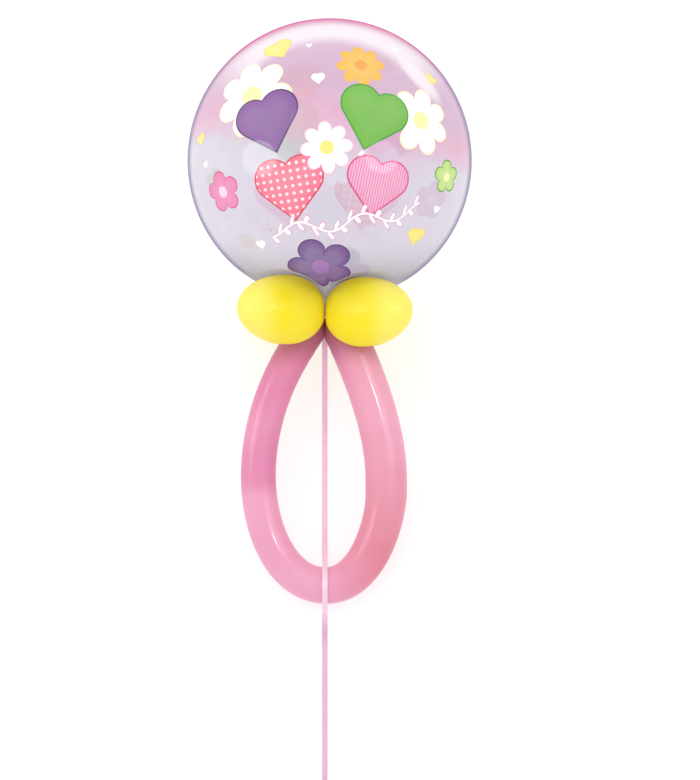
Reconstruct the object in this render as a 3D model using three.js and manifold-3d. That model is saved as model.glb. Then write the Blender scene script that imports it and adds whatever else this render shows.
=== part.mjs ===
// A balloon arrangement in the form of a giant baby's dummy, lying on its back on a flat surface:
// a clear bubble balloon, a collar of four small round balloons, one long balloon bent into a
// loop, and a flat ribbon tied where they all meet. Millimetres, +Z up, origin on the surface at
// the middle of the balloons' footprint, +Y towards the bubble.
//
// The balloons are shaped in the arrangement's own upright frame: x to the right, y up from the
// loop to the bubble, z to the front, with its origin in the middle of the collar. One group then
// leans that frame back until the bubble and the end of the loop both lie on the surface.
import * as THREE from "three";
import { mergeVertices } from "three/addons/utils/BufferGeometryUtils.js";
import Module from "manifold-3d";

const wasm = await Module();
wasm.setup();

// Bubble balloon
const bubbleDiameter = 560;
const bubbleLift = 295; // its centre above the middle of the collar
const bubbleOffset = 9.5; // its centre to the right of the collar's middle
const bubbleFlat = 2.5; // how far the film is pressed in where it lies
const tailRadius = 7; // the gathered neck of the film
const tailEnd = -13; // where the neck stops, measured from the collar's middle
const tailFlare = 46; // half angle of the cone in which the film gathers, degrees
const tailLength = 30;

// Collar of four small balloons, each an egg with its blunt end inwards
const smallGirth = 68; // radius at the fattest place
const smallReach = 105; // from the collar's middle to the fattest place
const smallOuter = 118; // from there to the outer end
const smallInner = 84; // from there to the inner end
const smallNeckRadius = 4.5;
const smallNeckStart = 10.5; // from the collar's middle to the start of the neck
const smallRise = { left: 1.5, right: 1.6 }; // how far the outer ends tip up, degrees
const smallDrop = { left: 2.2, right: 7 }; // how far the balloon hangs below the collar's middle

// Long balloon bent into a loop
const loopRadius = { left: 34.5, bottom: 36, right: 41 };
const loopTie = { x: 2.5, y: -24 }; // where each end of the tube begins
const loopShoulder = { x: 50, y: -66, left: 30, right: 24 }; // where it is full width, and its slopes there
const loopLeft = { x: -131, y: -328 };
const loopBottom = { x: 3, y: -542 };
const loopRight = { x: 121, y: -358 };
const loopEndAngle = 55; // slope of the centre line at the tie, degrees from upright
const loopNeckRadius = 3.5;
const loopFlat = 1.5; // how far the end of the loop is pressed in where it lies
const loopKnotRadius = 6;
const loopKnotHalfHeight = 7;

// Ribbon
const tieHeight = 6;
const tieThickness = 2;
const ribbonWidth = 11;
const ribbonThickness = 1;
const coilRadius = 62; // outside of the coil
const coilThickness = 13; // across all its turns
const coilCentre = { x: -69.2, y: -992 };

// Gaps and softness
const touchGap = 0.3; // between pieces that touch
const filmGap = 2.2; // between a dented balloon and the one that dents it
const filmSoftness = 26; // how broadly the bubble's film turns into a dent
const filmAhead = [0, 30, 60]; // how far each dent runs on in front of its small balloon, in steps
const latexSoftness = 8; // the same for the long balloon
const pressSoftness = 5; // the same where two small balloons press together

// Fineness of the facets
const bubbleSides = 44;
const smallSides = 20;
const loopSides = 16;
const loopSteps = 10; // rings on each of the six stretches of the loop

const bubbleRadius = bubbleDiameter / 2;
const bubbleCentre = new THREE.Vector3(bubbleOffset, bubbleLift, 0);
const bubbleTilt = -Math.atan2(bubbleOffset, bubbleLift); // of the bubble's neck, about z
const radians = THREE.MathUtils.degToRad;

// The smaller of two lengths, rounded off where they are nearly equal.
function softMin(a, b, softness) {
  const near = Math.max(softness - Math.abs(a - b), 0) / softness;
  return Math.min(a, b) - (near * near * softness) / 4;
}

// The axis of one small balloon, from the collar's middle outwards and slightly up.
function smallAxis(side, face) {
  const rise = radians(smallRise[side < 0 ? "left" : "right"]);
  const across = Math.cos(rise) / Math.SQRT2;
  return new THREE.Vector3(side * across, Math.sin(rise), face * across);
}

function smallOrigin(side) {
  return new THREE.Vector3(0, -smallDrop[side < 0 ? "left" : "right"], 0);
}

const smallBalloons = [
  { name: "small_balloon_front_left", side: -1, face: 1 },
  { name: "small_balloon_front_right", side: 1, face: 1 },
  { name: "small_balloon_back_left", side: -1, face: -1 },
  { name: "small_balloon_back_right", side: 1, face: -1 },
];

// How far a ray goes before it meets a small balloon grown by a margin, or Infinity.
function reachToSmall({ side, face }, start, direction, margin) {
  const axis = smallAxis(side, face);
  const from = start.clone().sub(smallOrigin(side));
  const along = direction.dot(axis);
  const fromAlong = from.dot(axis);
  const girth = (smallGirth + margin) ** 2;
  let nearest = Infinity;
  for (const [half, length] of [
    [1, smallOuter],
    [-1, smallInner],
  ]) {
    const lengthSquared = (length + margin) ** 2;
    const offset = fromAlong - smallReach;
    const a = along ** 2 / lengthSquared + (1 - along ** 2) / girth;
    const b = (offset * along) / lengthSquared + (from.dot(direction) - fromAlong * along) / girth;
    const c = offset ** 2 / lengthSquared + (from.lengthSq() - fromAlong ** 2) / girth - 1;
    const inside = b * b - a * c;
    if (inside < 0) continue;
    const distance = (-b - Math.sqrt(inside)) / a;
    const where = offset + distance * along;
    if (distance > 0 && where * half >= 0) nearest = Math.min(nearest, distance);
  }
  return nearest;
}

// A length along a ray, shortened where a small balloon presses the film or the tube in. The
// steps say how far outwards the dent of each small balloon is carried on.
function pressedReach(start, direction, reach, softness, steps = [0]) {
  let left = reach;
  for (const small of smallBalloons)
    for (const step of steps) {
      const from = new THREE.Vector3(start.x, start.y, start.z - small.face * step);
      const limit = reachToSmall(small, from, direction, filmGap);
      if (limit < Infinity) left = softMin(left, limit, softness);
    }
  return left;
}

// Closed geometry with shared vertices, ready for a boolean or a mesh.
function closed(geometry) {
  const plain = geometry.clone();
  plain.deleteAttribute("normal");
  plain.deleteAttribute("uv");
  return mergeVertices(plain, 1e-3);
}

function toSolid(geometry) {
  const merged = closed(geometry);
  return new wasm.Manifold(
    new wasm.Mesh({
      numProp: 3,
      vertProperties: new Float32Array(merged.attributes.position.array),
      triVerts: new Uint32Array(merged.index.array),
    }),
  );
}

function toGeometry(solid) {
  const mesh = solid.getMesh();
  const geometry = new THREE.BufferGeometry();
  geometry.setAttribute("position", new THREE.BufferAttribute(mesh.vertProperties, 3));
  geometry.setIndex(new THREE.BufferAttribute(mesh.triVerts, 1));
  geometry.computeVertexNormals();
  return geometry;
}

// Moves every vertex of a geometry by a function that changes the vector it is given.
function reshape(geometry, move) {
  const points = geometry.attributes.position;
  const point = new THREE.Vector3();
  for (let i = 0; i < points.count; i++) {
    point.fromBufferAttribute(points, i);
    move(point);
    points.setXYZ(i, point.x, point.y, point.z);
  }
  return geometry;
}

// How the upright frame is leaned back so that bubble and loop both rest on the surface.
const bubbleHeight = bubbleRadius - bubbleFlat;
const loopHeight = loopRadius.bottom - loopFlat;
const lean = Math.asin((bubbleHeight - loopHeight) / (bubbleLift - loopBottom.y));
const collarHeight = bubbleHeight - bubbleLift * Math.sin(lean);
const bubbleEnd = bubbleLift * Math.cos(lean) + bubbleRadius;
const loopEnd = loopBottom.y * Math.cos(lean) - loopRadius.bottom;
const lying = new THREE.Group();
lying.rotation.x = lean;
lying.position.set(-bubbleOffset, -(bubbleEnd + loopEnd) / 2, collarHeight);
lying.updateMatrixWorld(true);

// Cuts a balloon flat at the surface that it lies on.
function restOnSurface(geometry) {
  const depth = 100;
  const wide = 3 * bubbleDiameter;
  const ground = new THREE.BoxGeometry(wide, wide, depth);
  ground.translate(0, 0, -depth / 2);
  ground.applyMatrix4(lying.matrixWorld.clone().invert());
  return toGeometry(toSolid(geometry).subtract(toSolid(ground)));
}

// The clear bubble: a sphere whose film gathers into a neck, dented by the collar.
function bubbleGeometry() {
  const profile = [];
  const flareStart = radians(tailFlare);
  const toTie = bubbleCentre.length() - tailEnd;
  const gatherTop = toTie - tailLength;
  profile.push(new THREE.Vector2(0, -toTie));
  profile.push(new THREE.Vector2(tailRadius * 0.8, -toTie));
  profile.push(new THREE.Vector2(tailRadius, -toTie + 2));
  profile.push(new THREE.Vector2(tailRadius, -(toTie + gatherTop) / 2));
  const fineRings = 14;
  for (let i = 0; i <= fineRings; i++) {
    const angle = radians(3) + ((flareStart - radians(3)) * i) / fineRings;
    const gather = Math.max(0, 1 - angle / flareStart) ** 2;
    const reach = bubbleRadius + (gatherTop - bubbleRadius) * gather - 10 * gather * (1 - gather);
    profile.push(new THREE.Vector2(reach * Math.sin(angle), -reach * Math.cos(angle)));
  }
  const coarseRings = 19;
  for (let i = 1; i <= coarseRings; i++) {
    const angle = flareStart + ((Math.PI - flareStart) * i) / coarseRings;
    const across = i < coarseRings ? bubbleRadius * Math.sin(angle) : 0;
    profile.push(new THREE.Vector2(across, -bubbleRadius * Math.cos(angle)));
  }
  const geometry = new THREE.LatheGeometry(profile, bubbleSides);
  geometry.rotateZ(bubbleTilt);
  reshape(geometry, (point) => {
    const reach = point.length();
    const direction = point.clone().normalize();
    point.setLength(pressedReach(bubbleCentre, direction, reach, filmSoftness, filmAhead));
  });
  geometry.translate(...bubbleCentre);
  return restOnSurface(geometry);
}

// One small balloon, pressed flat against its neighbours on both sides.
function smallGeometry({ side, face }) {
  const neckTop = smallReach - smallInner * Math.sqrt(1 - (smallNeckRadius / smallGirth) ** 2);
  const profile = [
    new THREE.Vector2(0, smallNeckStart),
    new THREE.Vector2(smallNeckRadius, smallNeckStart),
    new THREE.Vector2(smallNeckRadius, neckTop),
  ];
  const rings = 7;
  for (let i = 1; i <= rings; i++) {
    const angle = (Math.PI / 2) * (i / rings);
    const across = smallGirth * Math.sin(angle);
    if (across > smallNeckRadius)
      profile.push(new THREE.Vector2(across, smallReach - smallInner * Math.cos(angle)));
  }
  for (let i = 1; i <= rings; i++) {
    const angle = (Math.PI / 2) * (i / rings);
    const across = i < rings ? smallGirth * Math.cos(angle) : 0;
    profile.push(new THREE.Vector2(across, smallReach + smallOuter * Math.sin(angle)));
  }
  const geometry = new THREE.LatheGeometry(profile, smallSides);
  const up = new THREE.Vector3(0, 1, 0);
  geometry.applyQuaternion(new THREE.Quaternion().setFromUnitVectors(up, smallAxis(side, face)));
  geometry.translate(...smallOrigin(side));
  const limit = touchGap / 2;
  return reshape(geometry, (point) => {
    point.x = -side * softMin(-side * point.x, -limit, pressSoftness);
    point.z = -face * softMin(-face * point.z, -limit, pressSoftness);
  });
}

// The centre line of the loop, from the tie down the left side and up the right side.
function loopStretches() {
  const at = (x, y) => new THREE.Vector3(x, y, 0);
  const slope = (angle, length) => [length * Math.sin(radians(angle)), length * Math.cos(radians(angle))];
  const [endX, endY] = slope(loopEndAngle, 16);
  const [leftTopX, leftTopY] = slope(loopShoulder.left, 24);
  const [rightTopX, rightTopY] = slope(loopShoulder.right, 24);
  const [leftX, leftY] = slope(loopShoulder.left, 22);
  const [rightX, rightY] = slope(loopShoulder.right, 190);
  const { x, y } = loopShoulder;
  const bend = (...points) => new THREE.CubicBezierCurve3(...points);
  return [
    bend(
      at(-loopTie.x, loopTie.y),
      at(-loopTie.x - endX, loopTie.y - endY),
      at(-x + leftTopX, y + leftTopY),
      at(-x, y),
    ),
    bend(at(-x, y), at(-x - leftX, y - leftY), at(loopLeft.x, loopLeft.y + 145), at(loopLeft.x, loopLeft.y)),
    bend(
      at(loopLeft.x, loopLeft.y),
      at(loopLeft.x, loopLeft.y - 97),
      at(loopBottom.x - 90, loopBottom.y),
      at(loopBottom.x, loopBottom.y),
    ),
    bend(
      at(loopBottom.x, loopBottom.y),
      at(loopBottom.x + 80, loopBottom.y),
      at(loopRight.x, loopRight.y - 60),
      at(loopRight.x, loopRight.y),
    ),
    bend(
      at(loopRight.x, loopRight.y),
      at(loopRight.x, loopRight.y + 41),
      at(x + rightX, y - rightY),
      at(x, y),
    ),
    bend(
      at(x, y),
      at(x - rightTopX, y + rightTopY),
      at(loopTie.x + endX, loopTie.y - endY),
      at(loopTie.x, loopTie.y),
    ),
  ];
}

// The radius at the start and end of each stretch of the loop.
const loopGirths = [
  [loopRadius.left, loopRadius.left],
  [loopRadius.left, loopRadius.left],
  [loopRadius.left, loopRadius.bottom],
  [loopRadius.bottom, loopRadius.right],
  [loopRadius.right, loopRadius.right],
  [loopRadius.right, loopRadius.right],
];

// The loop: a tube swept along its centre line, rounded off at both ends and knotted there.
function loopGeometry() {
  const rings = [];
  const stretches = loopStretches();
  stretches.forEach((stretch, index) => {
    const [first, last] = loopGirths[index];
    const isEnd = index === 0 || index === stretches.length - 1;
    const side = index < 3 ? -1 : 1;
    for (let i = index === 0 ? 0 : 1; i <= loopSteps; i++) {
      const t = i / loopSteps;
      const fromTie = index === 0 ? t : 1 - t;
      const full = first + (last - first) * t;
      const round = isEnd ? Math.sqrt(Math.max(0, 1 - (1 - fromTie) ** 2)) : 1;
      rings.push({
        centre: stretch.getPoint(t),
        tangent: stretch.getTangent(t),
        radius: loopNeckRadius + (full - loopNeckRadius) * round,
        side: index === 2 || index === 3 ? 0 : side,
      });
    }
  });
  const front = new THREE.Vector3(0, 0, 1);
  const positions = [];
  const limit = touchGap / 2;
  for (const { centre, tangent, radius, side } of rings) {
    const across = new THREE.Vector3().crossVectors(tangent, front).normalize();
    for (let j = 0; j < loopSides; j++) {
      const angle = (2 * Math.PI * j) / loopSides;
      const direction = across.clone().multiplyScalar(Math.cos(angle));
      direction.addScaledVector(front, Math.sin(angle));
      const reach = pressedReach(centre, direction, radius, latexSoftness);
      const point = centre.clone().addScaledVector(direction, reach);
      if (side !== 0) point.x = -side * Math.min(-side * point.x, -limit);
      positions.push(point.x, point.y, point.z);
    }
  }
  const index = [];
  for (let i = 0; i + 1 < rings.length; i++)
    for (let j = 0; j < loopSides; j++) {
      const next = (j + 1) % loopSides;
      const [a, b] = [i * loopSides + j, i * loopSides + next];
      const [c, d] = [a + loopSides, b + loopSides];
      index.push(a, c, b, b, c, d);
    }
  const startPole = positions.length / 3;
  const lastRing = (rings.length - 1) * loopSides;
  positions.push(...rings[0].centre, ...rings[rings.length - 1].centre);
  for (let j = 0; j < loopSides; j++) {
    const next = (j + 1) % loopSides;
    index.push(startPole, j, next);
    index.push(startPole + 1, lastRing + next, lastRing + j);
  }
  const tube = new THREE.BufferGeometry();
  tube.setAttribute("position", new THREE.Float32BufferAttribute(positions, 3));
  tube.setIndex(index);
  const knot = new THREE.SphereGeometry(loopKnotRadius, 14, 8);
  knot.scale(1, loopKnotHalfHeight / loopKnotRadius, 1);
  knot.translate(0, loopTie.y, 0);
  return restOnSurface(toGeometry(toSolid(tube).add(toSolid(knot))));
}

// The ribbon's wraps round the gathered neck of the bubble.
function tieGeometry() {
  const inner = tailRadius + touchGap;
  const outer = inner + tieThickness;
  const bottom = tailEnd + touchGap;
  const corner = (radius, height) => new THREE.Vector2(radius, height);
  const profile = [
    corner(inner, bottom),
    corner(outer, bottom),
    corner(outer, bottom + tieHeight),
    corner(inner, bottom + tieHeight),
    corner(inner, bottom),
  ];
  const geometry = new THREE.LatheGeometry(profile, 20);
  geometry.rotateZ(bubbleTilt);
  return geometry;
}

// The ribbon's route in the final frame: back out of the tie, down to the surface inside the
// loop, along it, over the end of the loop and on to the coil. Points chosen by hand.
const ribbonX = -bubbleOffset;
const ribbonRoute = [
  [-14.6, 177.2],
  [-18, 169.4],
  [-22.2, 162],
  [-33.5, 152.5],
  [-47, 142],
  [-60, 123],
  [-78, 92],
  [-98, 63],
  [-118, 40.5],
  [-140, 22],
  [-165, 8.8],
  [-190, 2.4],
  [-215, 0.9],
  [-300, 0.9],
  [-387, 0.9],
  [-407, 2.6],
  [-427, 8.3],
  [-447, 18.2],
  [-467, 32.5],
  [-482, 46.5],
  [-493.3, 58.9],
  [-506.3, 68.9],
  [-514.2, 71.7],
  [-522.4, 72.7],
  [-530.6, 71.7],
  [-538.5, 68.9],
  [-551.5, 58.9],
  [-562.8, 46.5],
  [-577.8, 32.5],
  [-597.8, 18.2],
  [-617.8, 8.3],
  [-637.8, 2.6],
  [-657.8, 0.9],
  [-740, 0.9],
  [-830, 0.9],
  [-910, 0.9],
  [-962, 0.9],
].map(([y, z]) => new THREE.Vector3(ribbonX, y, z));

// A flat strip with bevelled edges, swept along the route.
function ribbonGeometry() {
  const edge = ribbonWidth / 2;
  const face = ribbonThickness / 2;
  const bevel = 0.25;
  const section = new THREE.Shape([
    new THREE.Vector2(-edge, -face + bevel),
    new THREE.Vector2(-edge + bevel, -face),
    new THREE.Vector2(edge - bevel, -face),
    new THREE.Vector2(edge, -face + bevel),
    new THREE.Vector2(edge, face - bevel),
    new THREE.Vector2(edge - bevel, face),
    new THREE.Vector2(-edge + bevel, face),
    new THREE.Vector2(-edge, face - bevel),
  ]);
  return new THREE.ExtrudeGeometry(section, {
    extrudePath: new THREE.CatmullRomCurve3(ribbonRoute, false, "centripetal"),
    steps: 56,
    bevelEnabled: false,
  });
}

// The coil that the rest of the ribbon is wound into, lying on its side.
function coilGeometry() {
  const inner = coilRadius - coilThickness;
  const corner = (radius, height) => new THREE.Vector2(radius, height);
  const profile = [
    corner(inner, 0),
    corner(coilRadius, 0),
    corner(coilRadius, ribbonWidth),
    corner(inner, ribbonWidth),
    corner(inner, 0),
  ];
  const geometry = new THREE.LatheGeometry(profile, 40);
  geometry.rotateX(Math.PI / 2);
  return geometry;
}

function named(name, geometry, material) {
  const mesh = new THREE.Mesh(geometry, material);
  mesh.name = name;
  return mesh;
}

const clearFilm = new THREE.MeshStandardMaterial({
  color: 0xe6dbe6,
  roughness: 0.08,
  metalness: 0,
  transparent: true,
  opacity: 0.5,
});
const yellowLatex = new THREE.MeshStandardMaterial({ color: 0xf8e438, roughness: 0.35, metalness: 0 });
const pinkLatex = new THREE.MeshStandardMaterial({ color: 0xe99bbc, roughness: 0.25, metalness: 0 });
const pinkRibbon = new THREE.MeshStandardMaterial({ color: 0xecbed7, roughness: 0.4, metalness: 0 });

lying.add(named("bubble_balloon", bubbleGeometry(), clearFilm));
for (const small of smallBalloons) lying.add(named(small.name, smallGeometry(small), yellowLatex));
lying.add(named("loop_balloon", loopGeometry(), pinkLatex));
lying.add(named("ribbon_tie", tieGeometry(), pinkRibbon));

const coil = named("ribbon_coil", coilGeometry(), pinkRibbon);
coil.position.set(coilCentre.x, coilCentre.y, 0);

const arrangement = new THREE.Group();
arrangement.add(lying);
arrangement.add(named("ribbon", ribbonGeometry(), pinkRibbon));
arrangement.add(coil);

export default arrangement;
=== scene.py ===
"""A balloon arrangement shaped like a giant baby's dummy, lying on a pale floor.

Everything is in metres. The balloons are shaped in the arrangement's own upright frame, x to the
right, y up from the loop to the bubble and z to the front, with its origin in the middle of the
collar, and are then leaned back onto the floor.
"""

import logging
import math
from dataclasses import dataclass
from enum import Enum

import bmesh
import bpy
import numpy as np
from mathutils import Matrix, Vector


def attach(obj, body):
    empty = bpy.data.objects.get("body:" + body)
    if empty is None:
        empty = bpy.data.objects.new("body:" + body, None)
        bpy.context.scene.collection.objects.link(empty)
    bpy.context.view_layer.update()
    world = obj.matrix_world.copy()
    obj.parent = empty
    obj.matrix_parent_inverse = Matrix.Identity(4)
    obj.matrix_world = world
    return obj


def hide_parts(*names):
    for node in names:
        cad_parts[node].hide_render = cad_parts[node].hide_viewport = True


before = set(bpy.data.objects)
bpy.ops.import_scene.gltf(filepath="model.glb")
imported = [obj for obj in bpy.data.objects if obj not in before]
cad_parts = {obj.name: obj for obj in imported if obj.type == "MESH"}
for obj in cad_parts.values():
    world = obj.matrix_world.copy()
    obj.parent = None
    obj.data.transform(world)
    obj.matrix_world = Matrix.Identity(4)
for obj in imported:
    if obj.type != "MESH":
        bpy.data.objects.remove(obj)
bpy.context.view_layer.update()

LOG = logging.getLogger("dummy_balloon")
BODY = "root"

# How far the collar, the loop and the ribbon sit to the left of the bubble's middle.
MIDDLE_OFFSET = 0.0095

# A colour is linear red, green and blue, and an alpha.
Pair = tuple[float, float]
Point = tuple[float, float, float]
Color = tuple[float, float, float, float]


class Slot(Enum):
    """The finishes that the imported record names."""

    FILM = "clear_film"
    YELLOW = "yellow_latex"
    PINK = "pink_latex"
    RIBBON = "pink_ribbon"


class Socket(Enum):
    """Kinds of socket on the outside of a node group."""

    COLOR = "NodeSocketColor"
    VALUE = "NodeSocketFloat"
    VECTOR = "NodeSocketVector"
    GEOMETRY = "NodeSocketGeometry"
    MATERIAL = "NodeSocketMaterial"


def soft_min(a: np.ndarray, b: np.ndarray, softness: float) -> np.ndarray:
    """The smaller of two lengths, rounded off where they are nearly equal.

    Args:
        a: Some lengths.
        b: Other lengths, or one length.
        softness: How far apart two lengths may be and still be blended.

    Returns:
        The blended smaller lengths, never more than the smaller of the two.
    """
    near = np.maximum(softness - np.abs(a - b), 0) / softness
    return np.minimum(a, b) - near * near * softness / 4


def srgb(red: int, green: int, blue: int) -> Color:
    """A colour given as it shows on a screen, as the linear colour that a shader takes.

    Args:
        red: Red, 0 to 255.
        green: Green, 0 to 255.
        blue: Blue, 0 to 255.

    Returns:
        The linear colour with an alpha of 1.
    """

    def linear(channel: int) -> float:
        """How bright a channel is, 0 to 1."""
        share = channel / 255
        return share / 12.92 if share <= 0.04045 else ((share + 0.055) / 1.055) ** 2.4

    return (linear(red), linear(green), linear(blue), 1.0)


class NodeTree:
    """A node tree in the making, with short ways to add and join its nodes."""

    def __init__(self, tree: bpy.types.NodeTree) -> None:
        """Keeps the tree.

        Args:
            tree: A shader or geometry node tree.
        """
        self.tree = tree

    def add(self, kind: str, **settings: object) -> bpy.types.Node:
        """Adds one node.

        Args:
            kind: Blender's name for the kind of node.
            settings: Properties to set on it.

        Returns:
            The node.
        """
        node = self.tree.nodes.new(kind)
        for name, value in settings.items():
            setattr(node, name, value)
        return node

    def feed(self, socket: bpy.types.NodeSocket, value: object) -> None:
        """Links another node's output to an input, or sets the input's own value.

        Args:
            socket: The input.
            value: An output socket, or a plain value.
        """
        if isinstance(value, bpy.types.NodeSocket):
            self.tree.links.new(value, socket)
        else:
            socket.default_value = value

    def math(self, operation: str, *values: object, clamp: bool = False) -> bpy.types.NodeSocket:
        """One arithmetic step.

        Args:
            operation: Blender's name for it, such as ADD.
            values: One to three outputs or numbers.
            clamp: Whether the result is held between 0 and 1.

        Returns:
            The result's socket.
        """
        node = self.add("ShaderNodeMath", operation=operation, use_clamp=clamp)
        for socket, value in zip(node.inputs, values):
            self.feed(socket, value)
        return node.outputs[0]

    def vector(self, operation: str, *values: object) -> bpy.types.NodeSocket:
        """One step of vector arithmetic.

        Args:
            operation: Blender's name for it, such as DOT_PRODUCT.
            values: Outputs, vectors or, for SCALE, a vector and a number.

        Returns:
            The result's socket, a number for DOT_PRODUCT and LENGTH.
        """
        node = self.add("ShaderNodeVectorMath", operation=operation)
        sockets = [node.inputs[0], node.inputs["Scale"]] if operation == "SCALE" else node.inputs
        for socket, value in zip(sockets, values):
            self.feed(socket, value)
        return node.outputs["Value" if operation in ("DOT_PRODUCT", "LENGTH") else "Vector"]

    def split(self, vector: bpy.types.NodeSocket) -> tuple[bpy.types.NodeSocket, ...]:
        """The x, y and z of a vector, as three sockets."""
        node = self.add("ShaderNodeSeparateXYZ")
        self.feed(node.inputs[0], vector)
        return tuple(node.outputs)

    def mix(self, factor: object, first: object, second: object) -> bpy.types.NodeSocket:
        """A mix of two colours.

        Args:
            factor: 0 for all of the first, 1 for all of the second.
            first: A colour.
            second: Another colour.

        Returns:
            The mixed colour's socket.
        """
        node = self.add("ShaderNodeMix", data_type="RGBA", clamp_factor=True)
        self.feed(node.inputs[0], factor)
        self.feed(node.inputs[6], first)
        self.feed(node.inputs[7], second)
        return node.outputs[2]

    def step(
        self, value: object, low: float, high: float, start: float = 0, end: float = 1
    ) -> bpy.types.NodeSocket:
        """A smooth step from one value to another.

        Args:
            value: What is compared.
            low: Where the step starts.
            high: Where it ends.
            start: The result below low.
            end: The result above high.

        Returns:
            The result's socket.
        """
        node = self.add("ShaderNodeMapRange", interpolation_type="SMOOTHSTEP")
        for socket, number in zip(node.inputs, (value, low, high, start, end)):
            self.feed(socket, number)
        return node.outputs[0]

    def noise(self, vector: bpy.types.NodeSocket, scale: float, detail: float = 2) -> bpy.types.NodeSocket:
        """A soft random value between 0 and 1 that changes over the surface.

        Args:
            vector: The place on the surface.
            scale: How fine the noise is.
            detail: How many finer layers it has.

        Returns:
            The value's socket.
        """
        node = self.add("ShaderNodeTexNoise")
        self.feed(node.inputs["Vector"], vector)
        node.inputs["Scale"].default_value = scale
        node.inputs["Detail"].default_value = detail
        return node.outputs[0]

    def ellipse(self, across: object, up: object, half: Pair) -> bpy.types.NodeSocket:
        """How far out a place is on an ellipse, squared, so that it is 1 on the ellipse itself.

        Args:
            across: The place along the ellipse's width, from its middle.
            up: The place along its height.
            half: Half its width and half its height.

        Returns:
            The value's socket.
        """
        wide = self.math("POWER", self.math("DIVIDE", across, half[0]), 2.0)
        tall = self.math("POWER", self.math("DIVIDE", up, half[1]), 2.0)
        return self.math("ADD", wide, tall)

    def bump(self, height: bpy.types.NodeSocket, strength: float, depth: float) -> bpy.types.NodeSocket:
        """A normal that shows a fine relief.

        Args:
            height: The relief.
            strength: How strongly it shows.
            depth: How deep it is, in metres.

        Returns:
            The normal's socket.
        """
        node = self.add("ShaderNodeBump")
        node.inputs["Strength"].default_value = strength
        node.inputs["Distance"].default_value = depth
        self.feed(node.inputs["Height"], height)
        return node.outputs[0]

    def dress(self, geometry: bpy.types.NodeSocket, material: bpy.types.NodeSocket) -> bpy.types.NodeSocket:
        """Realizes the instances in a geometry and gives it its material.

        Args:
            geometry: The geometry.
            material: The material.

        Returns:
            The dressed geometry's socket.
        """
        realized = self.add("GeometryNodeRealizeInstances")
        self.feed(realized.inputs[0], geometry)
        dressed = self.add("GeometryNodeSetMaterial")
        self.feed(dressed.inputs["Geometry"], realized.outputs[0])
        self.feed(dressed.inputs["Material"], material)
        return dressed.outputs[0]

    def call(self, group: bpy.types.NodeTree, **values: object) -> bpy.types.Node:
        """Places a node group.

        Args:
            group: The group.
            values: Its inputs by name, with _ for a space.

        Returns:
            The group's node.
        """
        node = self.add("ShaderNodeGroup", node_tree=group)
        for name, value in values.items():
            self.feed(node.inputs[name.replace("_", " ")], value)
        return node


def new_group(
    name: str,
    kind: str,
    inputs: dict[str, tuple[Socket, object]],
    outputs: dict[str, Socket],
) -> tuple[NodeTree, bpy.types.Node, bpy.types.Node]:
    """Starts a node group with named inputs and outputs.

    Args:
        name: The group's name.
        kind: ShaderNodeTree or GeometryNodeTree.
        inputs: Each input's kind and first value, which is None where it has none.
        outputs: Each output's kind.

    Returns:
        The tree, the node that its inputs come out of and the node that its outputs go into.
    """
    tree = bpy.data.node_groups.new(name, kind)
    for label, (socket, value) in inputs.items():
        made = tree.interface.new_socket(name=label, in_out="INPUT", socket_type=socket.value)
        if value is not None:
            made.default_value = value
    for label, socket in outputs.items():
        tree.interface.new_socket(name=label, in_out="OUTPUT", socket_type=socket.value)
    return NodeTree(tree), tree.nodes.new("NodeGroupInput"), tree.nodes.new("NodeGroupOutput")


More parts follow.
